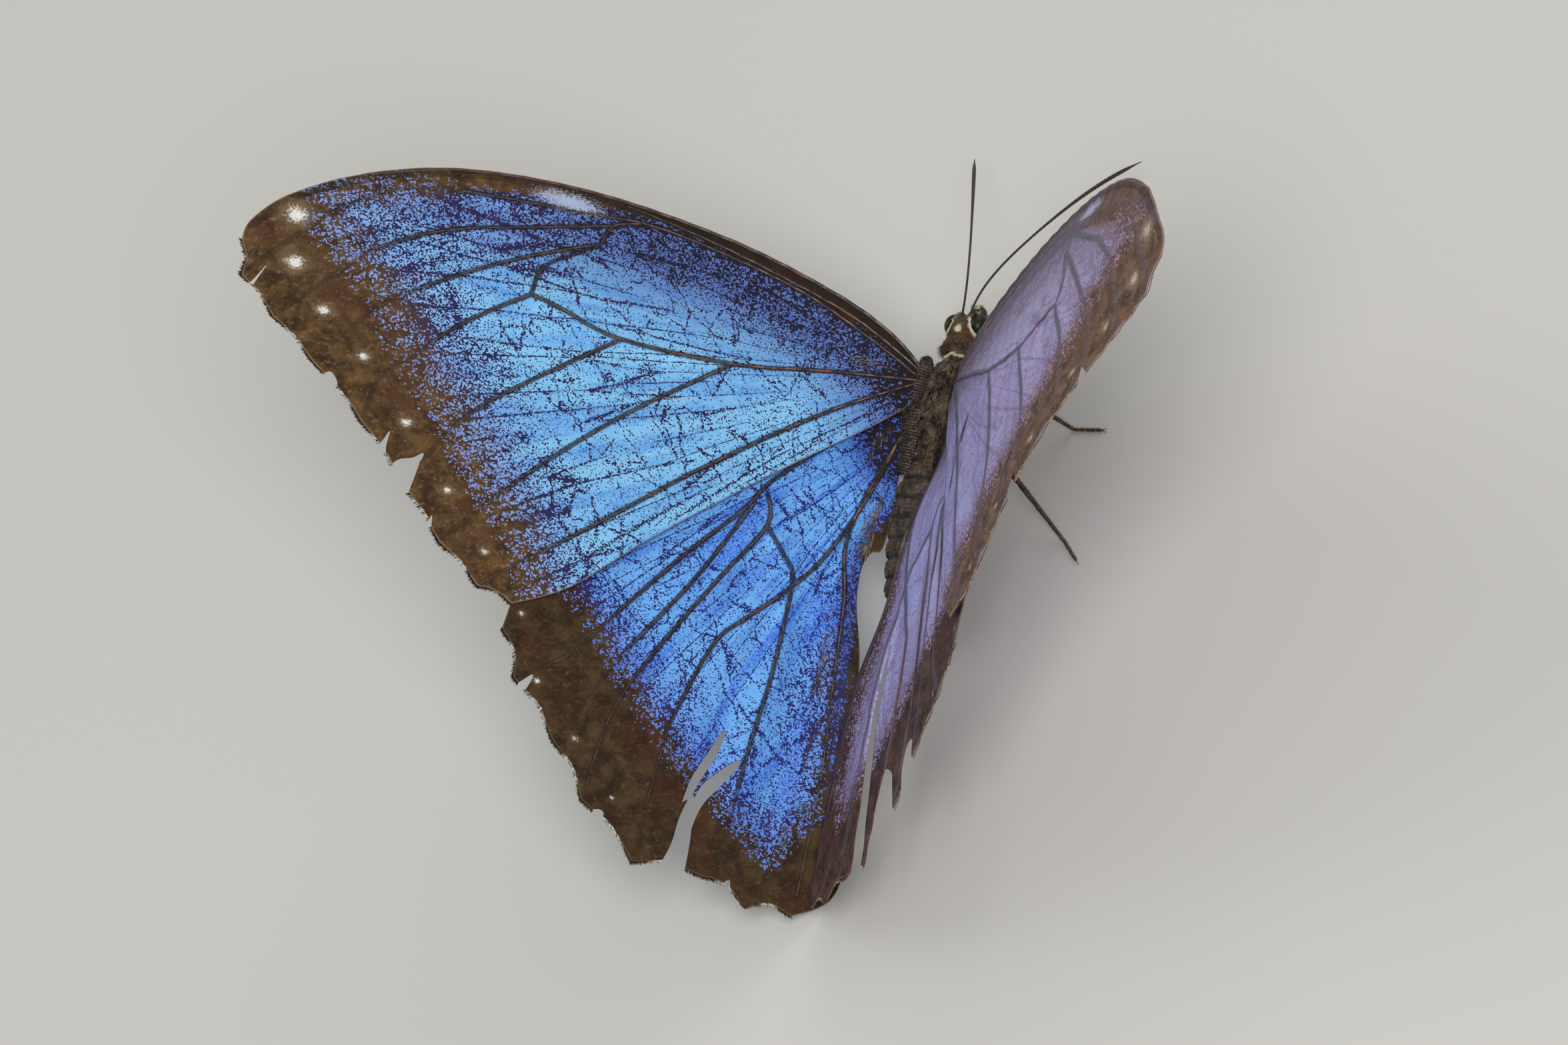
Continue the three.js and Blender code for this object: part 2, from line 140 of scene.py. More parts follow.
# Tears and chips of the margin: closed outlines whose outer part lies off the wing.
TEARS = {
    "wing_fore_left": [
        [(64.6, -9.6), (63.3, -8.9), (62.2, -6.8), (62.9, -8.9), (63.3, -10.4)],
        [(49.4, -22.2), (48.3, -21.9), (47.6, -20.3), (47.6, -21.9), (47.3, -23.8)],
        [(47.3, -24.6), (46.3, -23.0), (45.0, -22.4), (44.1, -21.7), (44.3, -23.2), (44.6, -26.2)],
        [(42.6, -28.8), (42.2, -28.2), (41.9, -27.2), (41.7, -28.3), (41.4, -29.4)],
        [(55.3, -16.9), (54.2, -16.0), (53.3, -17.2), (54.4, -18.0)],
    ],
    "wing_hind_left": [
        [(10.3, -56), (10.5, -51.2), (10.9, -47.6), (11.3, -45.5), (11.7, -45.6), (12.2, -48),
         (12.4, -51), (14.0, -56)],
        [(11.6, -45.7), (11.0, -43.5), (10.2, -41.0), (9.9, -38.8), (10.3, -38.9), (11.1, -41.2),
         (12.0, -43.9), (12.3, -46.4)],
        [(10.9, -49.4), (10.4, -46.2), (9.0, -43.6), (7.9, -41.3), (8.4, -41.2), (9.9, -42.9),
         (11.0, -44.6), (11.5, -47.3), (11.6, -49.5)],
        [(31.8, -41.6), (30.2, -40.2), (28.9, -38.9), (29.2, -40.4), (30.2, -42.2)],
        [(21.5, -51.0), (20.4, -49.6), (19.2, -49.5), (19.4, -51.4)],
        [(6.9, -54.2), (6.6, -52.6), (6.0, -52.2), (5.6, -54.6)],
    ],
    "wing_fore_right": [
        [(57.8, -15.9), (56.2, -14.6), (54.6, -13.8), (55.3, -15.2), (56.2, -16.9)],
        [(47.9, -25.2), (46.4, -23.4), (45.0, -22.2), (45.2, -23.9), (45.8, -26.0)],
        [(39.1, -32.4), (38.4, -31.4), (37.9, -30.6), (37.9, -31.6), (38.0, -33.2)],
    ],
    "wing_hind_right": [
        [(10.4, -56), (9.4, -47), (8.2, -38), (7.8, -30.4), (8.3, -30.6), (9.6, -38), (11.6, -47),
         (13.8, -56)],
        [(13.6, -54.8), (14.2, -48.6), (14.7, -44.0), (16.9, -44.0), (20.0, -47.2), (25.2, -52)],
        [(23.4, -49.4), (21.4, -44.8), (21.6, -42.2), (23.4, -42.6), (25.6, -45), (29, -48)],
        [(33.2, -38.3), (31.6, -37.5), (30.5, -36.9), (31.4, -38.6), (32.2, -39.3)],
        [(-9.4, -57), (-6.6, -40), (-4.4, -36), (-2.3, -36.5), (-1.6, -44), (-0.9, -57)],
    ],
}

# Veins, in wing axes, each from its root outwards, with its radius at either end.
FORE_VEINS = {
    "costal": ([(0.3, 0.9), (4, 3.5), (10, 5.8), (20.5, 8.0), (34, 8.8), (46, 7.5), (55, 4.4)],
               0.26, 0.12),
    "subcostal": ([(0.1, 0.5), (7.7, 4.0), (16.8, 6.3), (24.4, 7.7), (31.0, 8.5)], 0.20, 0.10),
    "radial": ([(0.5, 0.0), (4.6, 1.9), (12.2, 4.8), (20.1, 6.4), (28.2, 7.2), (35.2, 6.5),
                (46.0, 5.3), (52.0, 3.7), (57.5, -0.4), (64.0, -7.9)], 0.21, 0.08),
    "radial_fork": ([(51.5, 3.9), (58.0, 2.0), (63.0, -1.2)], 0.09, 0.06),
    "upper_median": ([(31.6, 6.1), (39.1, 3.6), (46.3, 1.1), (52.0, -2.2), (54.2, -4.2),
                      (60.4, -11.6)], 0.13, 0.08),
    "middle_median": ([(32.4, 3.9), (38.5, 0.7), (45.3, -3.6), (51.3, -8.4), (56.0, -15.3)],
                      0.13, 0.08),
    "cell_stem": ([(29.0, 7.1), (31.6, 6.1), (32.4, 3.9)], 0.15, 0.13),
    "cell_end": ([(32.4, 3.9), (34.9, 1.9), (37.3, -0.2), (37.8, -3.2)], 0.07, 0.07),
    "lower_median": ([(37.8, -3.2), (43.1, -7.6), (47.0, -12.0), (49.7, -15.3), (50.4, -20.0)],
                     0.13, 0.08),
    "cubital": ([(0.4, -0.4), (9.0, -2.2), (17.8, -4.3), (28.8, -5.1), (34.9, -3.7),
                 (37.8, -3.2)], 0.21, 0.12),
    "upper_cubital": ([(28.7, -5.2), (35.8, -11.5), (41.0, -16.9), (45.4, -25.0)], 0.14, 0.08),
    "lower_cubital": ([(18.0, -4.5), (26.5, -12.2), (33.7, -20.2), (40.6, -29.4)], 0.14, 0.08),
    "anal": ([(0.4, -0.7), (8.1, -6.2), (18.0, -14.9), (27.5, -24.3), (36.1, -32.4)], 0.18, 0.09),
}
HIND_VEINS = {
    "costal": ([(0.5, -2.6), (6.0, -5.0), (14.0, -9.6), (22.0, -17.0), (28.4, -26.0),
                (32.6, -35.2)], 0.16, 0.08),
    "radial": ([(0.5, -3.0), (5.6, -7.4), (11.3, -13.8), (13.4, -17.5), (17.4, -22.9),
                (22.2, -30.1), (26.0, -36.0), (30.4, -39.5)], 0.16, 0.08),
    "upper_median": ([(12.6, -16.6), (16.4, -25.6), (21.4, -35.0), (25.4, -44.2)], 0.12, 0.07),
    "middle_median": ([(11.5, -15.6), (10.9, -18.4), (14.0, -24.5), (18.4, -33.6),
                       (20.9, -40.6), (21.5, -48.8)], 0.13, 0.08),
    "cell_end": ([(10.9, -18.4), (7.7, -21.8), (7.3, -23.0)], 0.06, 0.06),
    "cubital": ([(0.3, -5.0), (2.1, -12.2), (4.5, -18.8), (7.1, -23.3), (10.9, -27.9),
                 (12.9, -30.5), (14.5, -36.0), (15.4, -41.5), (15.5, -53.0)], 0.16, 0.08),
    "lower_cubital": ([(7.2, -23.7), (7.1, -32.4), (7.5, -40.1), (7.6, -52.3)], 0.13, 0.08),
    "anal": ([(0.6, -6.0), (3.2, -16.6), (2.1, -23.4), (1.2, -31.8), (0.2, -40.1),
              (-0.4, -52.0)], 0.17, 0.10),
}
# Where the blue ends: an outline of the blue field of each wing.
FORE_BLUE = [(-7, 0), (4.6, 2.0), (12.2, 4.9), (20.1, 6.6), (28.2, 7.6), (35.2, 7.2),
             (46, 5.6), (52, 4.6), (57.4, 3.4), (61.2, 0.9), (58.8, -2.2), (54.5, -5.3),
             (51.4, -7.9), (49.3, -11.5), (44.2, -16.8), (39.3, -22.8), (33.6, -28.2),
             (28.4, -38), (16, -30), (4, -18), (-7, -8)]
HIND_BLUE = [(-6, -2), (6, 4), (20, -4), (34, -18), (31.6, -28.0),
             (27.0, -30.8), (23.5, -34.1), (18.6, -39.2), (13.7, -43), (8.4, -46.6),
             (2.9, -49.4), (-0.6, -43.2), (-0.2, -36.3), (0.9, -25.5), (1.4, -16.6), (-2, -9)]
# White marks by the margin: a place and a size each.
FORE_WHITE = [(60.7, -1.4, 1.0), (59.7, -5.9, 0.85), (56.1, -9.9, 0.6), (51.6, -13.6, 0.5),
              (46.3, -19.1, 0.5), (41.1, -24.5, 0.4), (36.4, -29.2, 0.35)]
HIND_WHITE = [(31.4, -33.6, 0.3), (28.4, -39.4, 0.35), (23.6, -43.6, 0.3), (18.8, -48.0, 0.25)]
COSTAL_PATCH = (36.2, 7.2, 3.4, 0.9)          # its place, length and width
# Long rubs down to the bare membrane of the right forewing: places and ways they run.
RUBS = ((13.6, -9.2, -1.1), (15.1, -14.2, -1.2))
RUB_SLIMNESS = 4                              # a rub's length over its width


def lengths_along(line):
    """How far along a line of points each of them lies."""
    return np.r_[0, np.cumsum(np.linalg.norm(np.diff(line, axis=0), axis=1))]


def smooth_line(points, step):
    """A smooth line through a few points, with a point every step millimetres."""
    given = np.asarray(points, float)
    padded = np.vstack([given[:1], given, given[-1:]])
    t = np.linspace(0, 1, 24, endpoint=False)[:, None]
    parts = []
    for a, b, c, d in zip(padded, padded[1:], padded[2:], padded[3:]):
        parts.append(b + 0.5 * t * (c - a + t * (2 * a - 5 * b + 4 * c - d + t * (3 * (b - c) + d - a))))
    dense = np.vstack(parts + [given[-1:]])
    run = lengths_along(dense)
    even = np.linspace(0, run[-1], max(2, round(run[-1] / step) + 1))
    return np.column_stack([np.interp(even, run, column) for column in dense.T])


def scalloped(ends, hollow, step):
    """The outer margin from vein end to vein end, hollowed between them and worn."""
    parts = []
    for a, b in zip(np.array(ends, float), np.array(ends[1:], float)):
        along = b - a
        inward = np.array([along[1], -along[0]]) / np.linalg.norm(along)
        t = np.linspace(0, 1, round(np.linalg.norm(along) / step), endpoint=False)[:, None]
        dip = hollow * np.sin(np.pi * t) ** 1.5
        nibble = NIBBLE * np.sin(31 * t + 3 * a[0]) * np.sin(17 * t + a[1])
        parts.append(a + along * t + inward * (dip + nibble * np.sin(np.pi * t)))
    return np.vstack(parts)


def wing_outline(costa, ends, inner, hollow):
    return np.vstack([
        smooth_line(costa + ends[:1], RIM_STEP)[:-1],
        scalloped(ends, hollow, RIM_STEP),
        smooth_line(ends[-1:] + inner, RIM_STEP),
    ])


def smoothstep(low, high, value):
    t = np.clip((value - low) / (high - low), 0, 1)
    return t * t * (3 - 2 * t)


def from_line(points, line):
    """How far each point lies from a line of short straights, and how far along it is."""
    best = np.full(len(points), 1e9)
    along = np.zeros(len(points))
    run = 0.0
    for a, b in zip(line, line[1:]):
        straight = b - a
        length = np.linalg.norm(straight)
        t = np.clip((points - a) @ straight / length ** 2, 0, 1)
        apart = np.linalg.norm(points - a - t[:, None] * straight, axis=1)
        nearer = apart < best
        best[nearer] = apart[nearer]
        along[nearer] = (run + t * length)[nearer]
        run += length
    return best, along / run


def within(points, outline):
    """How deep inside a closed outline each point lies; negative outside it."""
    closed = np.vstack([outline, outline[:1]])
    apart, _ = from_line(points, closed)
    inside = np.zeros(len(points), bool)
    for (x0, y0), (x1, y1) in zip(closed, closed[1:]):
        crosses = (y0 > points[:, 1]) != (y1 > points[:, 1])
        if y0 != y1:
            inside ^= crosses & (points[:, 0] < x0 + (x1 - x0) * (points[:, 1] - y0) / (y1 - y0))
    return np.where(inside, apart, -apart)


def bend(kind, side, out, ahead):
    """How far the middle of a wing's membrane lies from its flat plane."""
    span = out / SPAN
    chord = -ahead / CHORD
    lift = TWIST * span * chord - CHORD_DROOP * chord ** 2 - TIP_DROOP * span ** 3
    if kind == "fore":
        along = np.clip(-ahead / FORE_CHORD, 0, 1)
        leading = np.clip((ahead + 5) / 10, 0, 1)
        lift -= COSTA_SAG * leading * np.sin(np.pi * out / FORE_SPAN)
        return lift - MARGIN_WAVE * np.sin(2 * np.pi * along) * span ** 2
    if side < 0:
        raised = 0.65 * smoothstep(6, 18, -ahead) + 0.35 * smoothstep(23, 34, -ahead)
        lift += CROSSING_LIFT * raised * np.exp(-((out + 2) / CROSSING_REACH) ** 2)
    return lift - HIND_LAP


def on_wing(kind, side, out, ahead, above):
    """Points of a wing, given flat in wing axes, bent and raised, in the frame."""
    level = np.array([-side * math.sin(RAISE), 0, math.cos(RAISE)])
    forward = np.array([0, 1, 0])
    axis_out = np.array([side * math.cos(RAISE), 0, math.sin(RAISE)])
    axis_ahead = forward * math.cos(PRONATION) - level * math.sin(PRONATION)
    axis_lift = level * math.cos(PRONATION) + forward * math.sin(PRONATION)
    lift = bend(kind, side, out, ahead) + above
    root = np.array([side * ROOT_SIDE, 0, ROOT_DORSAL])
    return stand(root + np.outer(out, axis_out) + np.outer(ahead, axis_ahead) + np.outer(lift, axis_lift))


def mesh_object(name, points, faces):
    """An object at the origin whose mesh has these points, in metres, and faces."""
    mesh = bpy.data.meshes.new(name)
    mesh.from_pydata(np.asarray(points).tolist(), [], [tuple(face) for face in faces])
    mesh.update()
    piece = bpy.data.objects.new(name, mesh)
    bpy.context.scene.collection.objects.link(piece)
    return piece


def select_only(piece):
    bpy.ops.object.select_all(action="DESELECT")
    piece.select_set(True)
    bpy.context.view_layer.objects.active = piece


def shape_with(piece, kind, **settings):
    """Gives a piece one modifier and applies it."""
    modifier = piece.modifiers.new(kind.lower(), kind)
    for key, value in settings.items():
        setattr(modifier, key, value)
    select_only(piece)
    bpy.ops.object.modifier_apply(modifier=modifier.name)


def positions(piece):
    points = np.empty(len(piece.data.vertices) * 3)
    piece.data.vertices.foreach_get("co", points)
    return points.reshape(-1, 3)


def move_to(piece, points):
    piece.data.vertices.foreach_set("co", np.asarray(points, float).ravel())
    piece.data.update()


def paint(piece, name, values):
    """Stores one number, or one vector, for each point of a mesh."""
    values = np.asarray(values, float)
    kind, field = ("FLOAT", "value") if values.ndim == 1 else ("FLOAT_VECTOR", "vector")
    piece.data.attributes.new(name, kind, "POINT").data.foreach_set(field, values.ravel())


def counter_clockwise(outline):
    x, y = np.asarray(outline, float).T
    area = np.sum(x * np.roll(y, -1) - y * np.roll(x, -1))
    return np.asarray(outline, float)[:: 1 if area > 0 else -1]


def cut_blade(name, outline, tears):
    """The flat membrane inside an outline and outside its tears, as fine triangles."""
    outline = counter_clockwise(outline)
    low, high = outline.min(0), outline.max(0)
    rows = np.arange(low[1], high[1], CELL * 0.866)
    grid = np.array([(x + (i % 2) * CELL / 2, y) for i, y in enumerate(rows)
                     for x in np.arange(low[0], high[0], CELL)])
    rim = [outline] + [counter_clockwise(smooth_line(tear, 0.2)) for tear in tears]
    clear = within(grid, outline) > RIM_CLEAR
    corners = np.vstack(rim + [grid[clear]])
    loops, first = [], 0
    for line in rim:
        loops.append(list(range(first, first + len(line))))
        first += len(line)
    points, _, faces, _, _, sources = delaunay_2d_cdt([Vector(p) for p in corners], [], loops, 1, 1e-4)
    kept = [face for face, source in zip(faces, sources) if source == [0]]
    used = sorted({i for face in kept for i in face})
    number = {old: new for new, old in enumerate(used)}
    flat = [(points[i].x, points[i].y, 0) for i in used]
    return mesh_object(name, flat, [[number[i] for i in face] for face in kept])


# Folds between the veins, from the hollows of the margin inwards past the white marks.
FORE_FOLDS = [
    [(62.1, -9.9), (59.7, -5.9), (55, -2.0), (47, 2.6), (40, 4.4)],
    [(57.8, -13.5), (56.1, -9.9), (51.5, -5.2), (45, -1.2), (38.5, 2.0)],
    [(53, -17.3), (51.6, -13.6), (47.5, -9.0), (42.5, -4.6), (38.6, -1.6)],
    [(47.6, -21.6), (46.3, -19.1), (42.5, -13.4), (38, -7.5), (35.2, -4.6)],
    [(42.1, -27.2), (41.1, -24.5), (36, -18), (30, -11.2), (24.6, -6.2)],
    [(37.6, -31.8), (36.4, -29.2), (30, -22), (22, -13.5), (13, -6.2)],
]
HIND_FOLDS = [
    [(31.6, -37.4), (29.0, -33.5), (24.5, -26.5), (18, -17.5)],
    [(28.0, -42.0), (25.6, -38.0), (20.6, -29.6), (15.6, -20.6)],
    [(23.4, -46.8), (21.6, -41.5), (17.6, -31.5), (14.2, -22.0)],
    [(18.4, -51.3), (17.2, -46), (15.2, -36), (12.4, -26), (10.8, -20.4)],
    [(12.2, -52.9), (11.6, -46), (10.7, -36), (8.6, -27)],
    [(3.6, -53.6), (4.0, -45), (4.4, -35), (5.4, -25.5)],
]
# Eyespots of the underside: a place and a size each.
FORE_OCELLI = [(53.0, -3.6, 1.9), (41.6, -13.6, 2.6), (37.0, -18.8, 2.2)]
HIND_OCELLI = [(22.5, -23.5, 3.4), (20.0, -36.0, 1.9), (13.6, -39.4, 2.7), (7.6, -41.4, 2.0)]
# The blue is rubbed along the forewing's leading edge and the hindwing's inner one.
WINGS = {
    "fore": {"outline": wing_outline(FORE_COSTA, FORE_ENDS, FORE_INNER, FORE_HOLLOW),
             "ends": FORE_ENDS, "hollow": FORE_HOLLOW, "rubbed_edge": FORE_COSTA,
             "veins": FORE_VEINS, "folds": FORE_FOLDS, "blue": FORE_BLUE, "white": FORE_WHITE,
             "ocelli": FORE_OCELLI},
    "hind": {"outline": wing_outline(HIND_COSTA, HIND_ENDS, HIND_INNER, HIND_HOLLOW),
             "ends": HIND_ENDS, "hollow": HIND_HOLLOW, "rubbed_edge": HIND_INNER,
             "veins": HIND_VEINS, "folds": HIND_FOLDS, "blue": HIND_BLUE, "white": HIND_WHITE,
             "ocelli": HIND_OCELLI},
}
RIGHT_WEAR = 2.2                              # how far the right wings' blue has drawn in
HIND_HUB = 4                                  # how far back the hindwing's streaks meet
ELSEWHERE = 9.0                               # a distance at which a mark no longer shows
VEIN_RIDGE = 0.16                             # height of the pleats at veins and folds
PLEAT_REACH = 1.1                             # and how far they run to either side
FLOOR_CLEAR = 0.00002                         # least height of wings and hair, in metres


def wing_ripple(at):
    """Shallow cockles of the dry membrane, out from its root."""
    ripple = 0.035 * np.sin(2.1 * at[:, 0] + 1.3 * at[:, 1] + 1.2 * np.sin(0.5 * at[:, 1]))
    return ripple * smoothstep(2, 8, at[:, 0])


def nearest_line(points, lines):
    return np.min([from_line(points, smooth_line(line, 1.0))[0] for line in lines], axis=0)


def blue_left(kind, at, deep, edge):
    """How much of the blue has its scales: less towards its edges, the root and the costa."""
    root = np.hypot(at[:, 0], at[:, 1] + (6 if kind == "hind" else 0))
    worn = 0.8 * smoothstep(9, 1, root)
    if kind == "fore":
        worn = np.maximum(worn, 0.5 * smoothstep(14.0, 3.5, edge) * smoothstep(58, 26, at[:, 0]))
        outward = smoothstep(20, 48, at[:, 0] - 0.35 * at[:, 1])
        outward *= np.maximum(smoothstep(1.5, 7, edge), smoothstep(42, 52, at[:, 0]))
    else:
        worn = np.maximum(worn, 0.35 * smoothstep(3.0, 0.8, edge))
        outward = 0.6 * smoothstep(-14, -36, at[:, 1])
    reach = 1.6 + 13 * outward
    start = 0.4 + 0.8 * outward
    return np.clip((deep + start) / reach, 0, 1) ** 0.36 * (1 - smoothstep(0.2, 0.9, worn)), worn


def own_pattern(kind, side, at):
    """Places on a flat wing, with a third number that sets each wing's pattern apart."""
    return np.column_stack([at, np.full(len(at), 40.0 * side + 15 * (kind == "hind"))])


def wing_marks(kind, side, at):
    """What the pattern of the scales follows, at each place on a flat wing."""
    wing = WINGS[kind]
    hind = kind == "hind"
    edge = from_line(at, smooth_line(wing["rubbed_edge"], 1.0))[0]
    deep = within(at, np.array(wing["blue"], float)) - RIGHT_WEAR * (side < 0)
    cover, worn = blue_left(kind, at, deep, edge)
    x, y, long, wide = COSTAL_PATCH
    patch = np.exp(-((at[:, 0] - x) / long) ** 2 - ((at[:, 1] - y) / wide) ** 2)
    x, y, turn = np.array(RUBS).T
    x, y = at[:, :1] - x, at[:, 1:] - y
    lengthways, across = x * np.cos(turn) + y * np.sin(turn), y * np.cos(turn) - x * np.sin(turn)
    rubbed = np.hypot(lengthways, RUB_SLIMNESS * across).min(1)
    hub = HIND_HUB if hind else 0
    angle, radius = np.arctan2(at[:, 1] + hub, at[:, 0] + 1), np.hypot(at[:, 1] + hub, at[:, 0] + 1)
    spots = [np.hypot((at[:, 0] - x) * 0.75, at[:, 1] - y) / size for x, y, size in wing["white"]]
    rings = [np.hypot(*(at - (x, y)).T) / size for x, y, size in wing["ocelli"]]
    return {
        "flat": own_pattern(kind, side, at),
        "fan": np.column_stack([20 * angle + 40 * side, 0.07 * radius, np.full(len(at), hub)]),
        "cover": cover,
        "worn": worn,
        "patch": patch * (not hind),
        "rubbed": rubbed + ELSEWHERE * (hind or side > 0),
        "edge": np.full(len(at), ELSEWHERE) if hind else edge,
        "vein": nearest_line(at, [line for line, _, _ in wing["veins"].values()]),
        "fold": nearest_line(at, wing["folds"]),
        "spot": np.min(spots, axis=0),
        "ocellus": np.min(rings, axis=0),
        "margin": from_line(at, np.vstack([wing["outline"], wing["outline"][:1]]))[0],
    }


def blade(kind, side_name):
    """One wing's membrane: cut, thickened, marked, pleated, bent and raised."""
    side = SIDES[side_name]
    name = f"wing_{kind}_{side_name}"
    piece = cut_blade(f"blade_{kind}_{side_name}", WINGS[kind]["outline"], TEARS[name])
    shape_with(piece, "SOLIDIFY", thickness=MEMBRANE, offset=0, material_offset=1)
    flat = positions(piece)
    at = flat[:, :2]
    marks = wing_marks(kind, side, at)
    for mark, values in marks.items():
        paint(piece, mark, values)
    ridge, furrow = (np.exp(-(marks[mark] / PLEAT_REACH) ** 2) for mark in ("vein", "fold"))
    above = flat[:, 2] + VEIN_RIDGE * (ridge - furrow) + wing_ripple(at)
    points = on_wing(kind, side, at[:, 0], at[:, 1], above)
    points[:, 2] = np.maximum(points[:, 2], FLOOR_CLEAR)
    move_to(piece, points)
    select_only(piece)
    bpy.ops.object.shade_smooth()
    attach(piece, "root")
    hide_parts(name)
    return piece


blades = {(kind, side): blade(kind, side) for kind in WINGS for side in SIDES}


def srgb(code):
    """An sRGB hex colour as linear red, green, blue and alpha."""
    parts = [int(code[i:i + 2], 16) / 255 for i in (1, 3, 5)]
    return [c / 12.92 if c <= 0.04045 else ((c + 0.055) / 1.055) ** 2.4 for c in parts] + [1]


def add(tree, kind, inputs, out=0, **settings):
    """Adds a shader node, with numbers, hex colours or other nodes' outputs on its inputs."""
    made = tree.nodes.new("ShaderNode" + kind)
    for key, value in settings.items():
        setattr(made, key, value)
    for key, value in inputs.items():
        if isinstance(value, bpy.types.NodeSocket):
            tree.links.new(value, made.inputs[key])
        else:
            made.inputs[key].default_value = srgb(value) if isinstance(value, str) else value
    return made.outputs[out] if made.outputs else made


def new_material(name):
    material = bpy.data.materials.new(name)
    material.use_nodes = True
    material.node_tree.nodes.clear()
    return material, material.node_tree


STEP = {"interpolation_type": "SMOOTHSTEP"}
COLOUR = {"data_type": "RGBA"}


SCALE_WIDE = 0.125                            # a real scale is about 0.1 mm wide and 0.2 mm
SCALE_LONG = 0.1                              # long, of which its bare end shows 0.1 mm
SCALE_SLANT = 0.55
STRIP_MIDDLE = 0.55                           # a dark strip, this far behind the leading edge
STRIP_HALF = 0.38
STRIP_UMBER = "#140d0a"


def wing_scales(name, tints):
    """Blue scales over brown ones, in rows, each scale of one colour throughout."""
    material, tree = new_material(name)
    flat, fan = (add(tree, "Attribute", {}, 1, attribute_name=mark) for mark in ("flat", "fan"))
    cover, worn, fold, vein, edge, patch, spot, margin, rubbed = (
        add(tree, "Attribute", {}, 2, attribute_name=mark)
        for mark in ("cover", "worn", "fold", "vein", "edge", "patch", "spot", "margin", "rubbed"))

    # Scales: the whole of a scale looks up its colour at its middle.
    rows = add(tree, "Mapping", {0: flat, 2: (0, 0, SCALE_SLANT),
                                 3: (1 / SCALE_WIDE, 1 / SCALE_LONG, 1)})
    middle = add(tree, "TexVoronoi", {"Vector": rows, "Scale": 1.0, "Randomness": 0.75}, "Position",
                 voronoi_dimensions="2D")
    lottery = add(tree, "SeparateColor", {0: middle.node.outputs["Color"]})
    shape = middle.node.outputs["Distance"]
    wing = add(tree, "VectorMath", {0: flat, 1: (0, 0, 1)}, operation="MULTIPLY")
    at = add(tree, "VectorMath", {0: middle, 1: (SCALE_WIDE, SCALE_LONG, 0), 2: wing},
             operation="MULTIPLY_ADD")

    # Gaps: a net of lost scales, close where the wing is worn and towards the blue's edge.
    curl = add(tree, "TexNoise", {"Vector": at, "Scale": 2.3, "Detail": 2.0, "Roughness": 0.55})
    ridge = add(tree, "Math", {0: curl, 1: 0.5}, operation="SUBTRACT")
    ridge = add(tree, "Math", {0: ridge}, operation="ABSOLUTE")
    fine = add(tree, "TexNoise", {"Vector": at, "Scale": 5.6, "Detail": 1.0})
    field = add(tree, "Math", {0: ridge, 1: 5.0, 2: fine}, operation="MULTIPLY_ADD")
    cloud = add(tree, "TexNoise", {"Vector": flat, "Scale": 0.16, "Detail": 3.0})
    limit = add(tree, "MapRange", {0: cover, 1: 0.0, 2: 1.0, 3: 1.3, 4: 0.47})
    limit = add(tree, "Math", {0: cloud, 1: 0.45, 2: limit}, operation="MULTIPLY_ADD")
    for mark, wide, much in ((fold, 0.7, 0.15), (vein, 0.6, 0.15)):
        near = add(tree, "MapRange", {0: mark, 1: wide, 2: 0.0, 4: much})
        limit = add(tree, "Math", {0: limit, 1: near}, operation="ADD")
    limit = add(tree, "Math", {0: limit, 1: 0.24}, operation="SUBTRACT")
    gaps = add(tree, "Math", {0: field, 1: limit}, operation="LESS_THAN")
    chance = add(tree, "MapRange", {0: cover, 1: 0.3, 2: 1.0, 3: 0.2, 4: 0.05})
    lost = add(tree, "Math", {0: lottery, 1: chance}, operation="LESS_THAN")
    gaps = add(tree, "Math", {0: gaps, 1: lost}, operation="MAXIMUM")

    # Rubbed lines: nets of long scratches, dotted from scale to scale and broken off.
    bent = add(tree, "TexNoise", {"Vector": at, "Scale": 0.5, "Detail": 2.0}, 1)
    bent = add(tree, "VectorMath", {0: bent, 1: (1.6, 1.6, 0), 2: at}, operation="MULTIPLY_ADD")
    for ground, turn, size, wide, seen, shift in ((fan, 0.0, (0.8, 0.5, 1), 0.032, 0.46, 0),
                                                  (bent, 0.4, (0.34, 0.13, 1), 0.018, 0.47, 31),
                                                  (bent, 2.2, (0.45, 0.3, 1), 0.024, 0.52, 77)):
        turned = add(tree, "Mapping", {0: ground, 1: (shift, 0, 0), 2: (0, 0, turn), 3: size})
        net = add(tree, "TexVoronoi", {"Vector": turned, "Scale": 1.0}, feature="DISTANCE_TO_EDGE")
        wider = add(tree, "MapRange", {0: fine, 1: 0.4, 2: 0.62, 3: 0.0, 4: wide * 1.4})
        line = add(tree, "Math", {0: net, 1: wider}, operation="LESS_THAN")
        here = add(tree, "TexNoise", {"Vector": turned, "Scale": 0.9, "Detail": 1.0})
        here = add(tree, "Math", {0: here, 1: seen}, operation="GREATER_THAN")
        line = add(tree, "Math", {0: line, 1: here}, operation="MULTIPLY")
        gaps = add(tree, "Math", {0: gaps, 1: line}, operation="MAXIMUM")
    blue = add(tree, "Math", {0: 1.0, 1: gaps}, operation="SUBTRACT")
    inside = add(tree, "Math", {0: cover, 1: 0.015}, operation="GREATER_THAN")
    blue = add(tree, "Math", {0: blue, 1: inside}, operation="MULTIPLY")

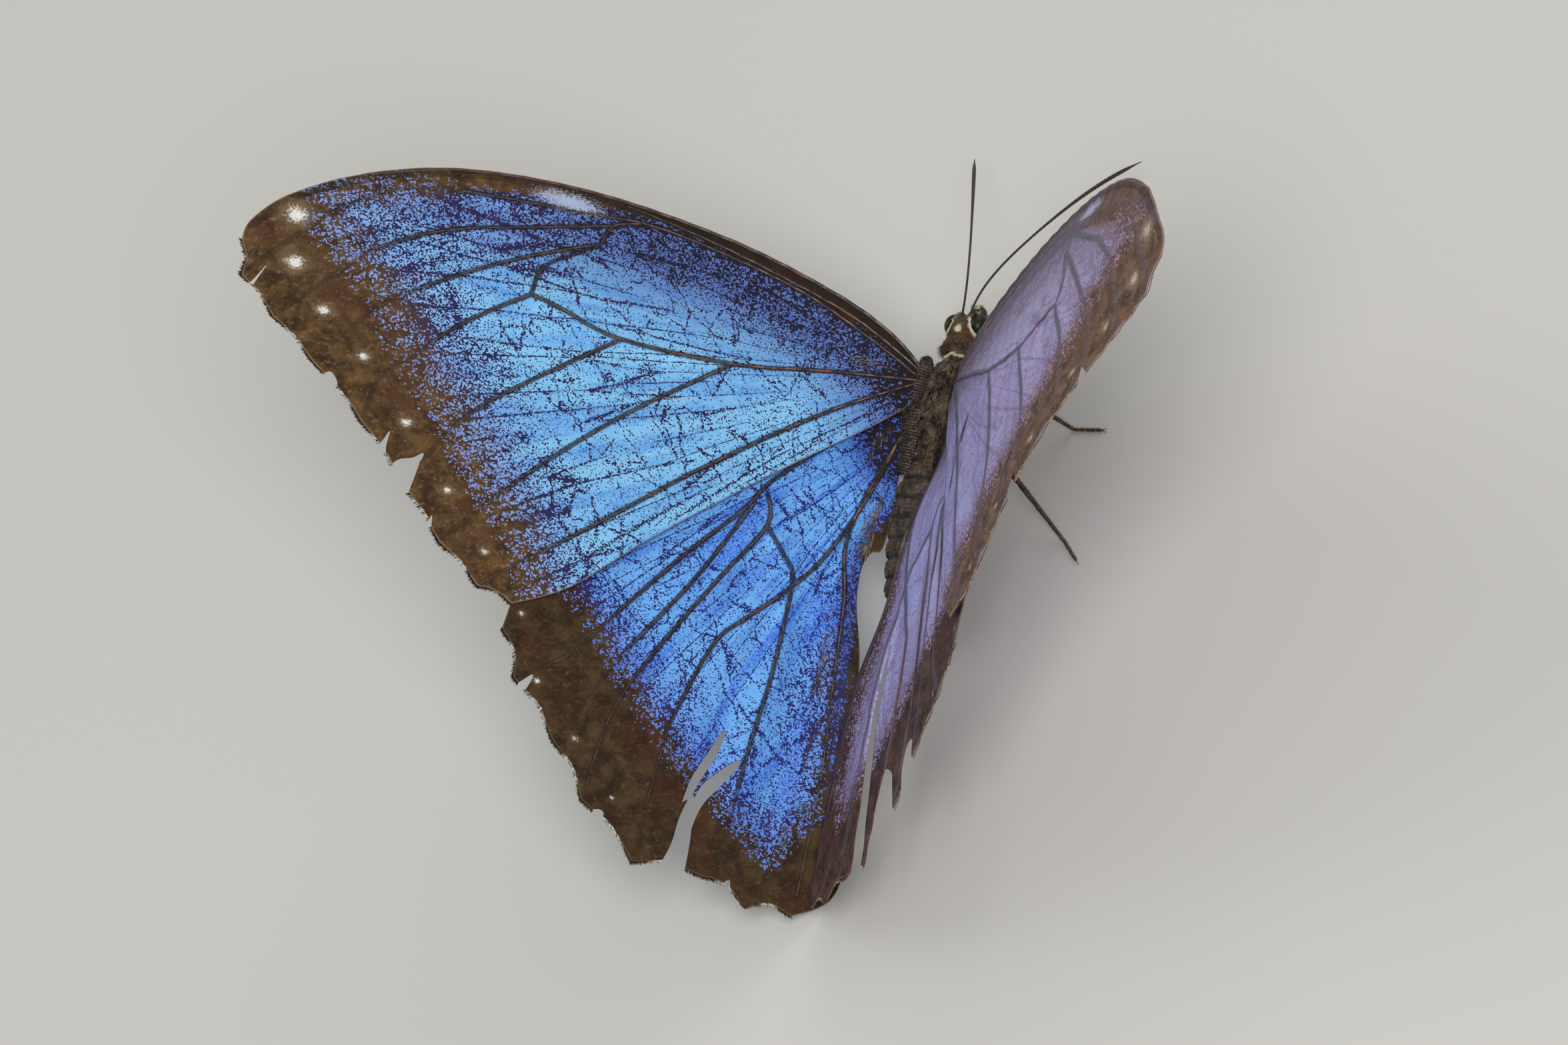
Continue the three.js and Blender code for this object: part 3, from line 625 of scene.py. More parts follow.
    # The blue itself: in clouds, and in streaks of painted light and shade for the soft pleats,
    # lilac and dull towards its edges.
    # Streaks fanned out from the root: painted light and shade of the pleats.
    streak = add(tree, "TexNoise", {"Vector": fan, "Scale": 1.0, "Detail": 2.0})
    tone = add(tree, "Mix", {0: 0.65, 2: cloud, 3: streak})
    tone = add(tree, "MapRange", {0: tone, 1: 0.34, 2: 0.57}, **STEP)
    single = add(tree, "MapRange", {0: lottery.node.outputs[1], 1: 0.45, 2: 1.0, 4: 0.6})
    faded = add(tree, "MapRange", {0: cover, 1: 1.0, 2: 0.4, 4: 0.85}, **STEP)
    dull = add(tree, "MapRange", {0: worn, 1: 0.0, 2: 0.5, 4: 0.95})
    colour = add(tree, "Mix", {0: tone, 6: tints["deep"], 7: tints["blue"]}, 2, **COLOUR)
    for share, tint in ((single, "bright"), (faded, "faded"), (dull, "dull")):
        colour = add(tree, "Mix", {0: share, 6: colour, 7: tints[tint]}, 2, **COLOUR)

    # The ground: dark violet inside the blue, black by the root, clouded brown outside.
    mottle = add(tree, "TexNoise", {"Vector": flat, "Scale": 0.55, "Detail": 6.0, "Roughness": 0.68})
    mottle = add(tree, "MapRange", {0: mottle, 1: 0.36, 2: 0.66}, **STEP)
    rusty = add(tree, "MapRange", {0: cloud, 1: 0.5, 2: 0.65, 4: 0.6}, **STEP)
    drawn = add(tree, "Mapping", {0: at, 3: (0.8, 1.3, 1)})
    grit = add(tree, "TexNoise", {"Vector": drawn, "Scale": 1.6, "Detail": 4.0, "Roughness": 0.8})
    grit = add(tree, "MapRange", {0: grit, 1: 0.54, 2: 0.72, 4: 0.75})
    inner = add(tree, "Math", {0: worn, 1: 0.9, 2: cover}, operation="MULTIPLY_ADD")
    inner = add(tree, "MapRange", {0: inner, 1: 0.5, 2: 0.8}, **STEP)
    bare = add(tree, "MapRange", {0: worn, 1: 0.2, 2: 0.6, 4: 0.9}, **STEP)
    ground = add(tree, "Mix", {0: mottle, 6: tints["umber"], 7: tints["tan"]}, 2, **COLOUR)
    for share, tint in ((rusty, "rust"), (grit, "grit"), (inner, "gap"), (bare, "bare")):
        ground = add(tree, "Mix", {0: share, 6: ground, 7: tints[tint]}, 2, **COLOUR)
    colour = add(tree, "Mix", {0: blue, 6: ground, 7: colour}, 2, **COLOUR)

    # Dark places: the costal strip, a painted shadow beside the veins, long rubs, and the very margin.
    strip = add(tree, "Math", {0: edge, 1: STRIP_MIDDLE, 2: STRIP_HALF}, operation="COMPARE")
    strip = add(tree, "Math", {0: strip, 1: 0.45}, operation="MULTIPLY")
    # A painted shadow beside the veins, stronger inside the blue, as wide as the palette's broad.
    shaded = add(tree, "MapRange", {0: inner, 3: 0.35, 4: 0.85})
    beside = add(tree, "MapRange", {0: vein, 1: tints["broad"], 2: 0.16, 4: shaded}, **STEP)
    rubbed = add(tree, "Math", {0: fine, 1: 1.6, 2: rubbed}, operation="MULTIPLY_ADD")
    rubbed = add(tree, "MapRange", {0: rubbed, 1: 3.3, 2: 2.4, 4: 0.85}, **STEP)
    rim = add(tree, "MapRange", {0: margin, 1: 0.14, 2: 0.04, 4: 0.7})

    # Pale marks: the costal patch, and white tufts of scales along the margin.
    patch = add(tree, "Math", {0: lottery, 1: 0.5, 2: patch}, operation="MULTIPLY_ADD")
    patch = add(tree, "MapRange", {0: patch, 1: 0.55, 2: 1.0, 4: 0.85})
    spot = add(tree, "Math", {0: grit, 1: -0.5, 2: spot}, operation="MULTIPLY_ADD")
    spot = add(tree, "Math", {0: lottery, 1: 0.5, 2: spot}, operation="MULTIPLY_ADD")
    halo = add(tree, "MapRange", {0: spot, 1: 2.0, 2: 0.9, 4: 0.5})
    white = add(tree, "MapRange", {0: spot, 1: 1.05, 2: 0.55, 4: 0.95})
    for share, tint in ((strip, STRIP_UMBER), (beside, tints["shadow"]), (rubbed, tints["umber"]),
                        (rim, tints["grit"]), (patch, tints["patch"]), (halo, tints["grit"]),
                        (white, tints["white"])):
        colour = add(tree, "Mix", {0: share, 6: colour, 7: tint}, 2, **COLOUR)

    rough = add(tree, "MapRange", {0: blue, 3: 0.8, 4: 0.5})
    metal = add(tree, "MapRange", {0: blue, 4: 0.15})
    height = add(tree, "Math", {0: shape, 1: -0.6, 2: mottle}, operation="MULTIPLY_ADD")
    bump = add(tree, "Bump", {"Strength": 0.6, "Distance": 0.00005, "Height": height})
    shader = add(tree, "BsdfPrincipled", {"Base Color": colour, "Roughness": rough, "Metallic": metal,
                                          "Normal": bump, "IOR": 1.55, "Specular IOR Level": 0.22})
    add(tree, "OutputMaterial", {0: shader})
    return material


def underside(name):
    """Clouded brown scales, two pale lines along the margin, and ringed eyespots."""
    material, tree = new_material(name)
    flat = add(tree, "Attribute", {}, 1, attribute_name="flat")
    cloud = add(tree, "TexNoise", {"Vector": flat, "Scale": 0.25, "Detail": 4.0})
    fine = add(tree, "TexNoise", {"Vector": flat, "Scale": 2.2, "Detail": 4.0, "Roughness": 0.7})
    cloudy = add(tree, "MapRange", {0: cloud, 1: 0.35, 2: 0.65}, **STEP)
    colour = add(tree, "Mix", {0: cloudy, 6: "#33241a", 7: "#5f4730"}, 2, **COLOUR)
    grit = add(tree, "MapRange", {0: fine, 1: 0.5, 2: 0.7, 4: 0.8}, **STEP)
    colour = add(tree, "Mix", {0: grit, 6: colour, 7: "#7d6244"}, 2, **COLOUR)
    margin = add(tree, "Attribute", {}, 2, attribute_name="margin")
    wavy = add(tree, "Math", {0: cloud, 1: 1.2, 2: margin}, operation="MULTIPLY_ADD")
    broken = add(tree, "MapRange", {0: fine, 1: 0.4, 2: 0.55, 4: 0.75}, **STEP)
    for middle, wide in ((3.1, 0.42), (1.9, 0.26)):
        line = add(tree, "Math", {0: wavy, 1: middle, 2: wide}, operation="COMPARE")
        line = add(tree, "Math", {0: line, 1: broken}, operation="MULTIPLY")
        colour = add(tree, "Mix", {0: line, 6: colour, 7: "#bfa97f"}, 2, **COLOUR)
    ring = add(tree, "Attribute", {}, 2, attribute_name="ocellus")
    for outer, shade in ((1.25, "#20140c"), (1.08, "#b8954f"), (0.84, "#120d0b"), (0.24, "#e9e3d2")):
        disc = add(tree, "MapRange", {0: ring, 1: outer + 0.04, 2: outer - 0.04}, **STEP)
        colour = add(tree, "Mix", {0: disc, 6: colour, 7: shade}, 2, **COLOUR)
    bump = add(tree, "Bump", {"Strength": 0.5, "Distance": 0.00005, "Height": fine})
    shader = add(tree, "BsdfPrincipled", {"Base Color": colour, "Roughness": 0.8, "IOR": 1.5,
                                          "Normal": bump})
    add(tree, "OutputMaterial", {0: shader})
    return material


# The left wings show the full azure. The right ones are seen aslant, where the same
# scales turn a dull lilac, so that sheen is painted into their colour outright.
AZURE = {"blue": "#84caf6", "bright": "#a6dbfc", "deep": "#5aa0e8", "faded": "#7f90de",
         "dull": "#5670b8", "gap": "#2a2350", "white": "#f2efe8", "shadow": "#1c130f",
         "patch": "#b9c6e2", "bare": "#1d1514", "broad": 0.36}
ROYAL = {**AZURE, "blue": "#6cb2f6", "bright": "#8cc8fc", "deep": "#3c78e4", "faded": "#5f7ce0",
         "dull": "#3f68c4", "gap": "#272c74"}
LILAC = {"blue": "#b0aad6", "bright": "#c2bfe4", "deep": "#ac8cc0", "faded": "#ad90b2",
         "dull": "#8f8ba6", "gap": "#8c7c9a", "white": "#c9b49c", "shadow": "#5f5a6c",
         "patch": "#b9bcd6", "bare": "#746880", "broad": 0.55}
PALETTES = {
    ("fore", "left"): {**AZURE, "umber": "#38240f", "tan": "#684c2a", "rust": "#573824",
                       "grit": "#927c60"},
    ("hind", "left"): {**ROYAL, "umber": "#2c1b0e", "tan": "#4e3b22", "rust": "#42200f",
                       "grit": "#6c583e"},
    ("fore", "right"): {**LILAC, "umber": "#4c382e", "tan": "#80624e", "rust": "#6e4c3c",
                        "grit": "#a08a80"},
    ("hind", "right"): {**LILAC, "umber": "#36231c", "tan": "#5f4638", "rust": "#4e2c20",
                        "grit": "#7a6456"},
}
brown_underside = underside("butterfly_scales_underside")
for (kind, side), piece in blades.items():
    piece.data.materials.append(wing_scales(f"butterfly_scales_{kind}_{side}", PALETTES[kind, side]))
    piece.data.materials.append(brown_underside)

# ---- Wing veins ---------------------------------------------------------------------
# Stiff tubes of brown chitin, up to half a millimetre across, that run inside a wing's
# membrane and stand out from both of its faces. A tan highlight is painted in patches
# along their upper crests, the chitin shines a little, and a tube stops where a tear
# has taken its piece of wing.

VEIN_STEP = 0.35                              # from ring to ring of a vein
VEIN_SIDES = 8
VEIN_FULL = 0.85                              # a vein's half width, over its given radius
VEIN_FLAT = 0.95                              # its height over its width
VEIN_WAVER = 0.08


def face_outwards(piece):
    """Turns all faces of a closed piece outwards and shades it smooth."""
    select_only(piece)
    bpy.ops.object.mode_set(mode="EDIT")
    bpy.ops.mesh.select_all(action="SELECT")
    bpy.ops.mesh.normals_make_consistent(inside=False)
    bpy.ops.object.mode_set(mode="OBJECT")
    bpy.ops.object.shade_smooth()


def unit(vectors):
    return vectors / np.linalg.norm(vectors, axis=1)[:, None]


def lofted(name, tubes):
    """One mesh of closed tubes, each an array of rings of points, in metres."""
    points, faces, first = [], [], 0
    for rings in tubes:
        count, sides = rings.shape[:2]
        points += [rings.reshape(-1, 3), rings[0].mean(0)[None], rings[-1].mean(0)[None]]
        around = np.arange(sides)
        beside = (around + 1) % sides
        for i in range(count - 1):
            low, high = first + i * sides, first + (i + 1) * sides
            faces += zip(low + around, low + beside, high + beside, high + around)
        start, last = first + count * sides, first + (count - 1) * sides
        faces += [(start, first + b, first + a) for a, b in zip(around, beside)]
        faces += [(start + 1, last + a, last + b) for a, b in zip(around, beside)]
        first = start + 2
    piece = mesh_object(name, np.vstack(points), faces)
    face_outwards(piece)
    return piece


def vein_tubes(kind, side_name):
    """All the veins of one wing, as tubes that follow its pleats."""
    side = SIDES[side_name]
    wing = WINGS[kind]
    tears = [np.array(tear) for tear in TEARS[f"wing_{kind}_{side_name}"]]
    turns = np.linspace(0, 2 * np.pi, VEIN_SIDES, endpoint=False)
    tubes, along, crest_highlights = [], [], []
    for number, (line, root_radius, end_radius) in enumerate(wing["veins"].values()):
        middle = smooth_line(line, VEIN_STEP)
        whole = within(middle, wing["outline"]) > -0.05
        for tear in tears:
            whole &= within(middle, tear) < 0.05
        share = np.linspace(0, 1, len(middle))
        radius = root_radius + (end_radius - root_radius) * share ** 0.7
        waver = np.sin(9 * middle[:, 0] + number) * np.sin(4.1 * middle[:, 1])
        radius = radius * (1 + VEIN_WAVER * waver)
        heading = unit(np.gradient(middle, axis=0))
        across = np.column_stack([-heading[:, 1], heading[:, 0]])
        runs = np.split(np.arange(len(middle)), np.flatnonzero(np.diff(whole.astype(int))) + 1)
        for run in (run for run in runs if whole[run[0]] and len(run) > 4):
            width = VEIN_FULL * radius[run][:, None]
            width[[0, -1]] *= 0.5
            flat = middle[run][:, None] + across[run][:, None] * (width * np.cos(turns))[..., None]
            at = middle[run]
            above = (VEIN_RIDGE + wing_ripple(at))[:, None] + VEIN_FLAT * width * np.sin(turns)
            rings = on_wing(kind, side, flat[..., 0].ravel(), flat[..., 1].ravel(), above.ravel())
            rings[:, 2] = np.maximum(rings[:, 2], FLOOR_CLEAR)
            tubes.append(rings.reshape(len(run), len(turns), 3))
            along += [np.repeat(at, len(turns), axis=0), at[[0, -1]]]
            crest_highlights += [np.tile(np.sin(turns), len(run)), [0, 0]]
    piece = lofted(f"veins_{kind}_{side_name}", tubes)
    paint(piece, "flat", own_pattern(kind, side, np.vstack(along)))
    paint(piece, "crest_highlight", np.concatenate(crest_highlights))
    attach(piece, "root")
    return piece


def bare_vein(name, dark, tan, rust, far):
    """Hard brown chitin: a dull gloss, a tan highlight painted in patches along the top of the tube,
    rusty where it is thin.
    """
    material, tree = new_material(name)
    flat = add(tree, "Attribute", {}, 1, attribute_name="flat")
    worn = add(tree, "TexNoise", {"Vector": flat, "Scale": 0.9, "Detail": 4.0, "Roughness": 0.65})
    worn = add(tree, "MapRange", {0: worn, 1: 0.42, 2: 0.62}, **STEP)
    # Painted highlight: tan only in patches along the upper crest of each tube.
    crest_highlight = add(tree, "Attribute", {}, 2, attribute_name="crest_highlight")
    crest_highlight = add(tree, "MapRange", {0: crest_highlight, 1: 0.75, 2: 1.0}, **STEP)
    worn = add(tree, "Math", {0: worn, 1: crest_highlight}, operation="MULTIPLY")
    colour = add(tree, "Mix", {0: worn, 6: dark, 7: tan}, 2, **COLOUR)
    thin = add(tree, "TexNoise", {"Vector": flat, "Scale": 0.33, "Detail": 2.0})
    thin = add(tree, "MapRange", {0: thin, 1: 0.6, 2: 0.66, 4: 0.8}, **STEP)
    colour = add(tree, "Mix", {0: thin, 6: colour, 7: rust}, 2, **COLOUR)
    reach = add(tree, "VectorMath", {0: flat, 1: (1, 1, 0)}, operation="MULTIPLY")
    reach = add(tree, "VectorMath", {0: reach}, 1, operation="LENGTH")
    reach = add(tree, "MapRange", {0: reach, 1: 14.0, 2: 42.0, 4: 0.5}, **STEP)
    colour = add(tree, "Mix", {0: reach, 6: colour, 7: far}, 2, **COLOUR)
    grit = add(tree, "TexNoise", {"Vector": flat, "Scale": 5.0, "Detail": 3.0, "Roughness": 0.7})
    gloss = add(tree, "MapRange", {0: grit, 1: 0.3, 2: 0.7, 3: 0.38, 4: 0.62})
    bump = add(tree, "Bump", {"Strength": 0.5, "Distance": 0.00004, "Height": grit})
    shader = add(tree, "BsdfPrincipled", {"Base Color": colour, "Roughness": gloss, "Normal": bump,
                                          "IOR": 1.56})
    add(tree, "OutputMaterial", {0: shader})
    return material


vein_chitin = {
    "left": bare_vein("bare_vein_chitin", "#241610", "#a07a58", "#7a4020", "#2c1c15"),
    # The right veins take paler, greyer colours: the lilac sheen of wings seen aslant, painted in.
    "right": bare_vein("bare_vein_chitin_painted_sheen", "#4e3d3e", "#84727a", "#7a5f50", "#5f4c4c"),
}
for kind in WINGS:
    for side in SIDES:
        vein_tubes(kind, side).data.materials.append(vein_chitin[side])

# ---- Body skin ----------------------------------------------------------------------
# Head, thorax, abdomen and palps are one body under the hair: a hard brown skin, made
# in plates. It is cast whole over the parted solids, closed over their cuts, shrunk by
# the depth of the hair, and grooved between the rings of the abdomen.

FLESH = ("thorax", "abdomen", "head", "palp_left", "palp_right")
CLOSING = 0.25                                # swelling that closes the cuts, mm
SKIN_CELL = 0.13
RING_FRONT = -7.65                            # the abdomen's first and last grooves
RING_BACK = -23.6
RINGS = 8
GROOVE_DEEP = 0.26
GROOVE_WIDE = 0.16
LAP = 0.1                                     # how far a ring stands over the next
PLATE_SWELL = 0.04
WRINKLE = 0.025
EYE_AXES = np.array([1.02, 1.2, 1.44])        # half of an eye's size each way
COLLAR = 3.35                                 # the collar's place along the body
BODY_END = 25                                 # behind the wing roots, and the length of
BODY_LENGTH = 36                              # body that is unrolled from there


def body_axes(points):
    """Points in the frame, in millimetres, back in body axes."""
    return (points - ORIGIN) @ STANCE


def eye_depth(body):
    """How many eye radii a point lies from the middle of the nearer eye."""
    beside = np.column_stack([np.abs(body[:, 0]), body[:, 1:]])
    return np.linalg.norm((beside - EYE) / EYE_AXES, axis=1)


def hair_depth(body):
    """How far the skin lies under the outside of the hair, in millimetres."""
    ahead = body[:, 1]
    depth = 0.14 + 0.26 * smoothstep(-9, -6.5, ahead) - 0.2 * smoothstep(4.2, 5.2, ahead)
    depth -= 0.5 * np.exp(-((ahead - 4.35) / 0.6) ** 2)
    depth = np.where(ahead > 7.2, 0.2, depth)
    return depth - 0.34 * smoothstep(1.5, 1.12, eye_depth(body))


def normals(piece):
    found = np.empty(len(piece.data.vertices) * 3)
    piece.data.vertex_normals.foreach_get("vector", found)
    return found.reshape(-1, 3)


cast, cast_faces, first = [], [], 0
for node in FLESH:
    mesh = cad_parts[node].data
    cast.append(positions(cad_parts[node]) / MM)
    cast_faces += [[first + i for i in face.vertices] for face in mesh.polygons]
    first += len(mesh.vertices)
skin = mesh_object("body_skin", np.vstack(cast), cast_faces)
select_only(skin)
bpy.ops.object.mode_set(mode="EDIT")
bpy.ops.mesh.select_all(action="SELECT")
bpy.ops.mesh.remove_doubles(threshold=0.001)
bpy.ops.transform.shrink_fatten(value=CLOSING)
bpy.ops.object.mode_set(mode="OBJECT")
shape_with(skin, "REMESH", mode="VOXEL", voxel_size=SKIN_CELL)
shape_with(skin, "SMOOTH", factor=0.5, iterations=12)

points = positions(skin)
body = body_axes(points)
ring_length = (RING_FRONT - RING_BACK) / RINGS
phase = (RING_FRONT - body[:, 1]) / ring_length
on_abdomen = smoothstep(-7.4, -8.2, body[:, 1])
groove = np.exp(-((phase - np.round(phase)) * ring_length / GROOVE_WIDE) ** 2) * on_abdomen
overlap = (phase - np.floor(phase)) * on_abdomen
plates = np.sin(2.2 * body[:, 1] + 1.1 * np.abs(body[:, 0])) * smoothstep(-7, -5, body[:, 1])
plates *= smoothstep(3.5, 2.0, body[:, 1])
wrinkles = WRINKLE * np.sin(14 * body[:, 1] + 1.5 * np.sin(2 * body[:, 0])) * on_abdomen
inward = CLOSING + hair_depth(body) + GROOVE_DEEP * groove - LAP * overlap
inward = inward + PLATE_SWELL * plates + wrinkles
move_to(skin, (points - normals(skin) * inward[:, None]) * MM)
shape_with(skin, "SMOOTH", factor=0.4, iterations=3)
bpy.ops.object.shade_smooth()


def markings(body):
    """Pale, warm, dark and bare parts of the body, from 0 to 1, for skin and hair alike."""
    side, ahead, dorsal = body.T
    wide = np.abs(side)
    rim = eye_depth(body)
    on_head = smoothstep(4.2, 4.6, ahead)

    # Pale: round the eyes, a patch on the brow, the palps' edges, the cheeks, the collar.
    stripe = smoothstep(1.2, 1.13, rim) * on_head * smoothstep(0.3, 0.5, wide)
    stripe *= smoothstep(7.3, 7.0, ahead) * smoothstep(-2.6, -2.2, dorsal)
    stripe *= smoothstep(6.9, 6.5, ahead + 0.6 * np.maximum(-dorsal - 0.6, 0))
    patch = smoothstep(0.44, 0.34, np.hypot(side - 0.1, ahead - 5.85)) * smoothstep(-0.2, 0.1, dorsal)
    beside = np.abs(wide - 0.5 + np.sign(side) * 0.35 * smoothstep(-3.2, -1.0, dorsal))
    palp = smoothstep(7.5, 7.7, ahead) * np.maximum(smoothstep(0.14, 0.24, beside),
                                                     smoothstep(-1.3, -0.9, dorsal))
    cheek = 0.55 * smoothstep(-2.0, -2.6, dorsal) * on_head * smoothstep(7.4, 7.0, ahead)
    scallop = COLLAR - 0.28 * np.abs(np.sin(1.9 * side)) + 0.1 * np.sin(7 * side)
    collar = smoothstep(0.16, 0.08, np.abs(ahead - scallop)) * smoothstep(-1.8, -1.2, dorsal)
    pale = np.max([stripe, patch, palp, cheek, collar], axis=0)

    # Warm brown: the top of the head, by the wing roots, and the waist.
    warm = smoothstep(1.2, 0.5, np.abs(ahead - 5.7)) * smoothstep(-0.9, -0.2, dorsal)
    base = smoothstep(1.3, 1.8, wide) * smoothstep(-5, -3, ahead) * smoothstep(2.8, 1.8, ahead)
    warm = np.maximum(warm, 0.45 * base * smoothstep(0.0, 0.8, dorsal))
    warm = np.maximum(warm, 0.5 * smoothstep(-7.0, -7.8, ahead) * smoothstep(-9.6, -8.6, ahead))

    # Dark: the grooves between the rings, a painted shade in the nape, and the abdomen towards its tip.
    phase = (RING_FRONT - ahead) / ring_length
    band = np.exp(-((phase - np.round(phase)) * ring_length / 0.2) ** 2) * smoothstep(-7.9, -8.6, ahead)
    # The nape's dark is painted shade, where the head meets the thorax.
    nape = 0.8 * np.exp(-((ahead - 4.55) / 0.22) ** 2)
    abdomen = 0.32 * smoothstep(-8.6, -9.6, ahead) + 0.5 * smoothstep(-18.5, -21.5, ahead)
    dark = np.max([band, nape, abdomen], axis=0)

    # Bare: three pairs of smooth spots along the back of the thorax.
    bald = np.hypot((wide - 0.5) / 0.3, (ahead + 1.6) / 0.6)
    bald = np.minimum(bald, np.hypot((wide - 0.35) / 0.25, (ahead - 0.6) / 0.8))
    bald = np.minimum(bald, np.hypot((wide - 0.9) / 0.35, (ahead + 3.8) / 0.5))
    bare = smoothstep(1.25, 0.8, bald) * smoothstep(0.8, 1.2, dorsal)
    return {"pale": pale, "warm": warm, "dark": dark * (1 - pale), "bare": bare}


for mark, values in markings(body_axes(positions(skin) / MM)).items():
    paint(skin, mark, values)

material, tree = new_material("insect_cuticle")
marks = {mark: add(tree, "Attribute", {}, 2, attribute_name=mark)
         for mark in ("warm", "pale", "dark", "bare")}
place = add(tree, "TexCoord", {}, 3)
drawn = add(tree, "Mapping", {0: place, 3: (2600, 700, 2600)})
streak = add(tree, "TexNoise", {"Vector": drawn, "Scale": 1.0, "Detail": 3.0, "Roughness": 0.6})
pits = add(tree, "TexNoise", {"Vector": place, "Scale": 9000.0, "Detail": 3.0, "Roughness": 0.7})
level = add(tree, "MapRange", {0: streak, 1: 0.35, 2: 0.68}, **STEP)
colour = add(tree, "Mix", {0: level, 6: "#211812", 7: "#655448"}, 2, **COLOUR)
for mark, tint in (("warm", "#4a3020"), ("pale", "#b8ad8e"), ("dark", "#0b0807"), ("bare", "#0b0b0e")):
    colour = add(tree, "Mix", {0: marks[mark], 6: colour, 7: tint}, 2, **COLOUR)
gloss = add(tree, "MapRange", {0: marks["bare"], 3: 0.68, 4: 0.16})
height = add(tree, "Math", {0: streak, 1: pits}, operation="ADD")
covered = add(tree, "Math", {0: 1.0, 1: marks["bare"]}, operation="SUBTRACT")
height = add(tree, "Math", {0: height, 1: covered}, operation="MULTIPLY")
bump = add(tree, "Bump", {"Strength": 0.7, "Distance": 0.00006, "Height": height})
add(tree, "OutputMaterial", {0: add(tree, "BsdfPrincipled", {
    "Base Color": colour, "Roughness": gloss, "Normal": bump, "IOR": 1.56})})
skin.data.materials.append(material)
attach(skin, "root")
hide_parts(*FLESH)

# ---- Hair ---------------------------------------------------------------------------
# Hair and hair-like scales of chitin, from 0.2 mm long on the palps to 1.6 mm under
# the thorax, rooted in the skin and combed back along the body. Several hairs cling
# in each tuft. Every tuft is a thin bent blade that ends in a point.

GRAIN = 0.003                                 # a tuft's patch on the bake map
SUNK = 0.04                                   # how deep a root is set, mm


def scatter(piece, count, density, seed):
    """Roots on a piece, as thick as density asks: places in millimetres, and normals."""
    rng = np.random.default_rng(seed)
    mesh = piece.data
    mesh.calc_loop_triangles()
    corners = np.empty(len(mesh.loop_triangles) * 3, int)
    mesh.loop_triangles.foreach_get("vertices", corners)
    corners = corners.reshape(-1, 3)
    points = positions(piece) / MM
    a, b, c = (points[corners[:, i]] for i in range(3))
    area = np.linalg.norm(np.cross(b - a, c - a), axis=1) / 2
    weight = area * density(body_axes((a + b + c) / 3))
    chosen = rng.choice(len(area), count, p=weight / weight.sum())
    share = rng.dirichlet((1, 1, 1), count)
    place = np.einsum("ij,ijk->ik", share, points[corners[chosen]])
    normal = np.einsum("ij,ijk->ik", share, normals(piece)[corners[chosen]])
    return place, unit(normal), rng


def unrolled(body):
    """A root's place on the unrolled skin: round the body, and along it."""
    around = np.arctan2(body[:, 0], body[:, 2] + 1.2) / (2 * np.pi) + 0.5
    return np.column_stack([around, (body[:, 1] + BODY_END) / BODY_LENGTH]) * 0.98 + 0.01


def tufts(name, roots, normal, lie, shape, unwrapped, marks, rng):
    """A piece of tufts: each a bent blade of three edges, with two rings and a tip."""
    count = len(roots)
    length, width, rise, curl = (np.broadcast_to(value, count) for value in shape)
    lie = lie - normal * np.sum(lie * normal, axis=1)[:, None]
    lie /= np.linalg.norm(lie, axis=1)[:, None] + 1e-9
    side = np.cross(lie, normal)
    sway = rng.normal(0, 0.12, count)
    points = np.empty((count, 7, 3))
    uv = np.empty((count, 7, 2))
    for ring, (t, full) in enumerate(((0.0, 0.8), (0.5, 1.0))):
        out = length * t
        middle = roots + lie * (out * np.cos(rise))[:, None] + side * (out * t * sway)[:, None]
        middle = middle + normal * (out * np.sin(rise) - length * curl * t * t - SUNK)[:, None]
        half = (width * full / 2)[:, None]
        points[:, 3 * ring] = middle - side * half
        points[:, 3 * ring + 1] = middle + side * half
        points[:, 3 * ring + 2] = middle + normal * half * 0.8
        for corner, offset in enumerate((-0.5, 0.5, 0.0)):
            uv[:, 3 * ring + corner] = unwrapped + GRAIN * np.array([offset, t - 0.5])
    tip = roots + lie * (length * np.cos(rise))[:, None] + side * (length * sway)[:, None]
    points[:, 6] = tip + normal * (length * (np.sin(rise) - curl) - SUNK)[:, None]
    uv[:, 6] = unwrapped + [0, GRAIN / 2]
    points[..., 2] = np.maximum(points[..., 2], FLOOR_CLEAR / MM)
    pattern = [(0, 2, 1), (0, 1, 4, 3), (1, 2, 5, 4), (2, 0, 3, 5), (3, 4, 6), (4, 5, 6), (5, 3, 6)]
    faces = [[7 * i + corner for corner in face] for i in range(count) for face in pattern]
    piece = mesh_object(name, points.reshape(-1, 3) * MM, faces)
    loops = np.array([corner for face in faces for corner in face])
    layer = piece.data.uv_layers.new(name="OFBake")
    layer.data.foreach_set("uv", uv.reshape(-1, 2)[loops].ravel())
    paint(piece, "along", np.tile([0, 0, 0, 0.5, 0.5, 0.5, 1.0], count))
    paint(piece, "shade", np.repeat(rng.random(count), 7))
    for mark in ("pale", "warm", "dark"):
        paint(piece, mark, np.repeat(np.broadcast_to(marks[mark], count), 7))
    select_only(piece)
    bpy.ops.object.shade_smooth()
    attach(piece, "root")
    return piece


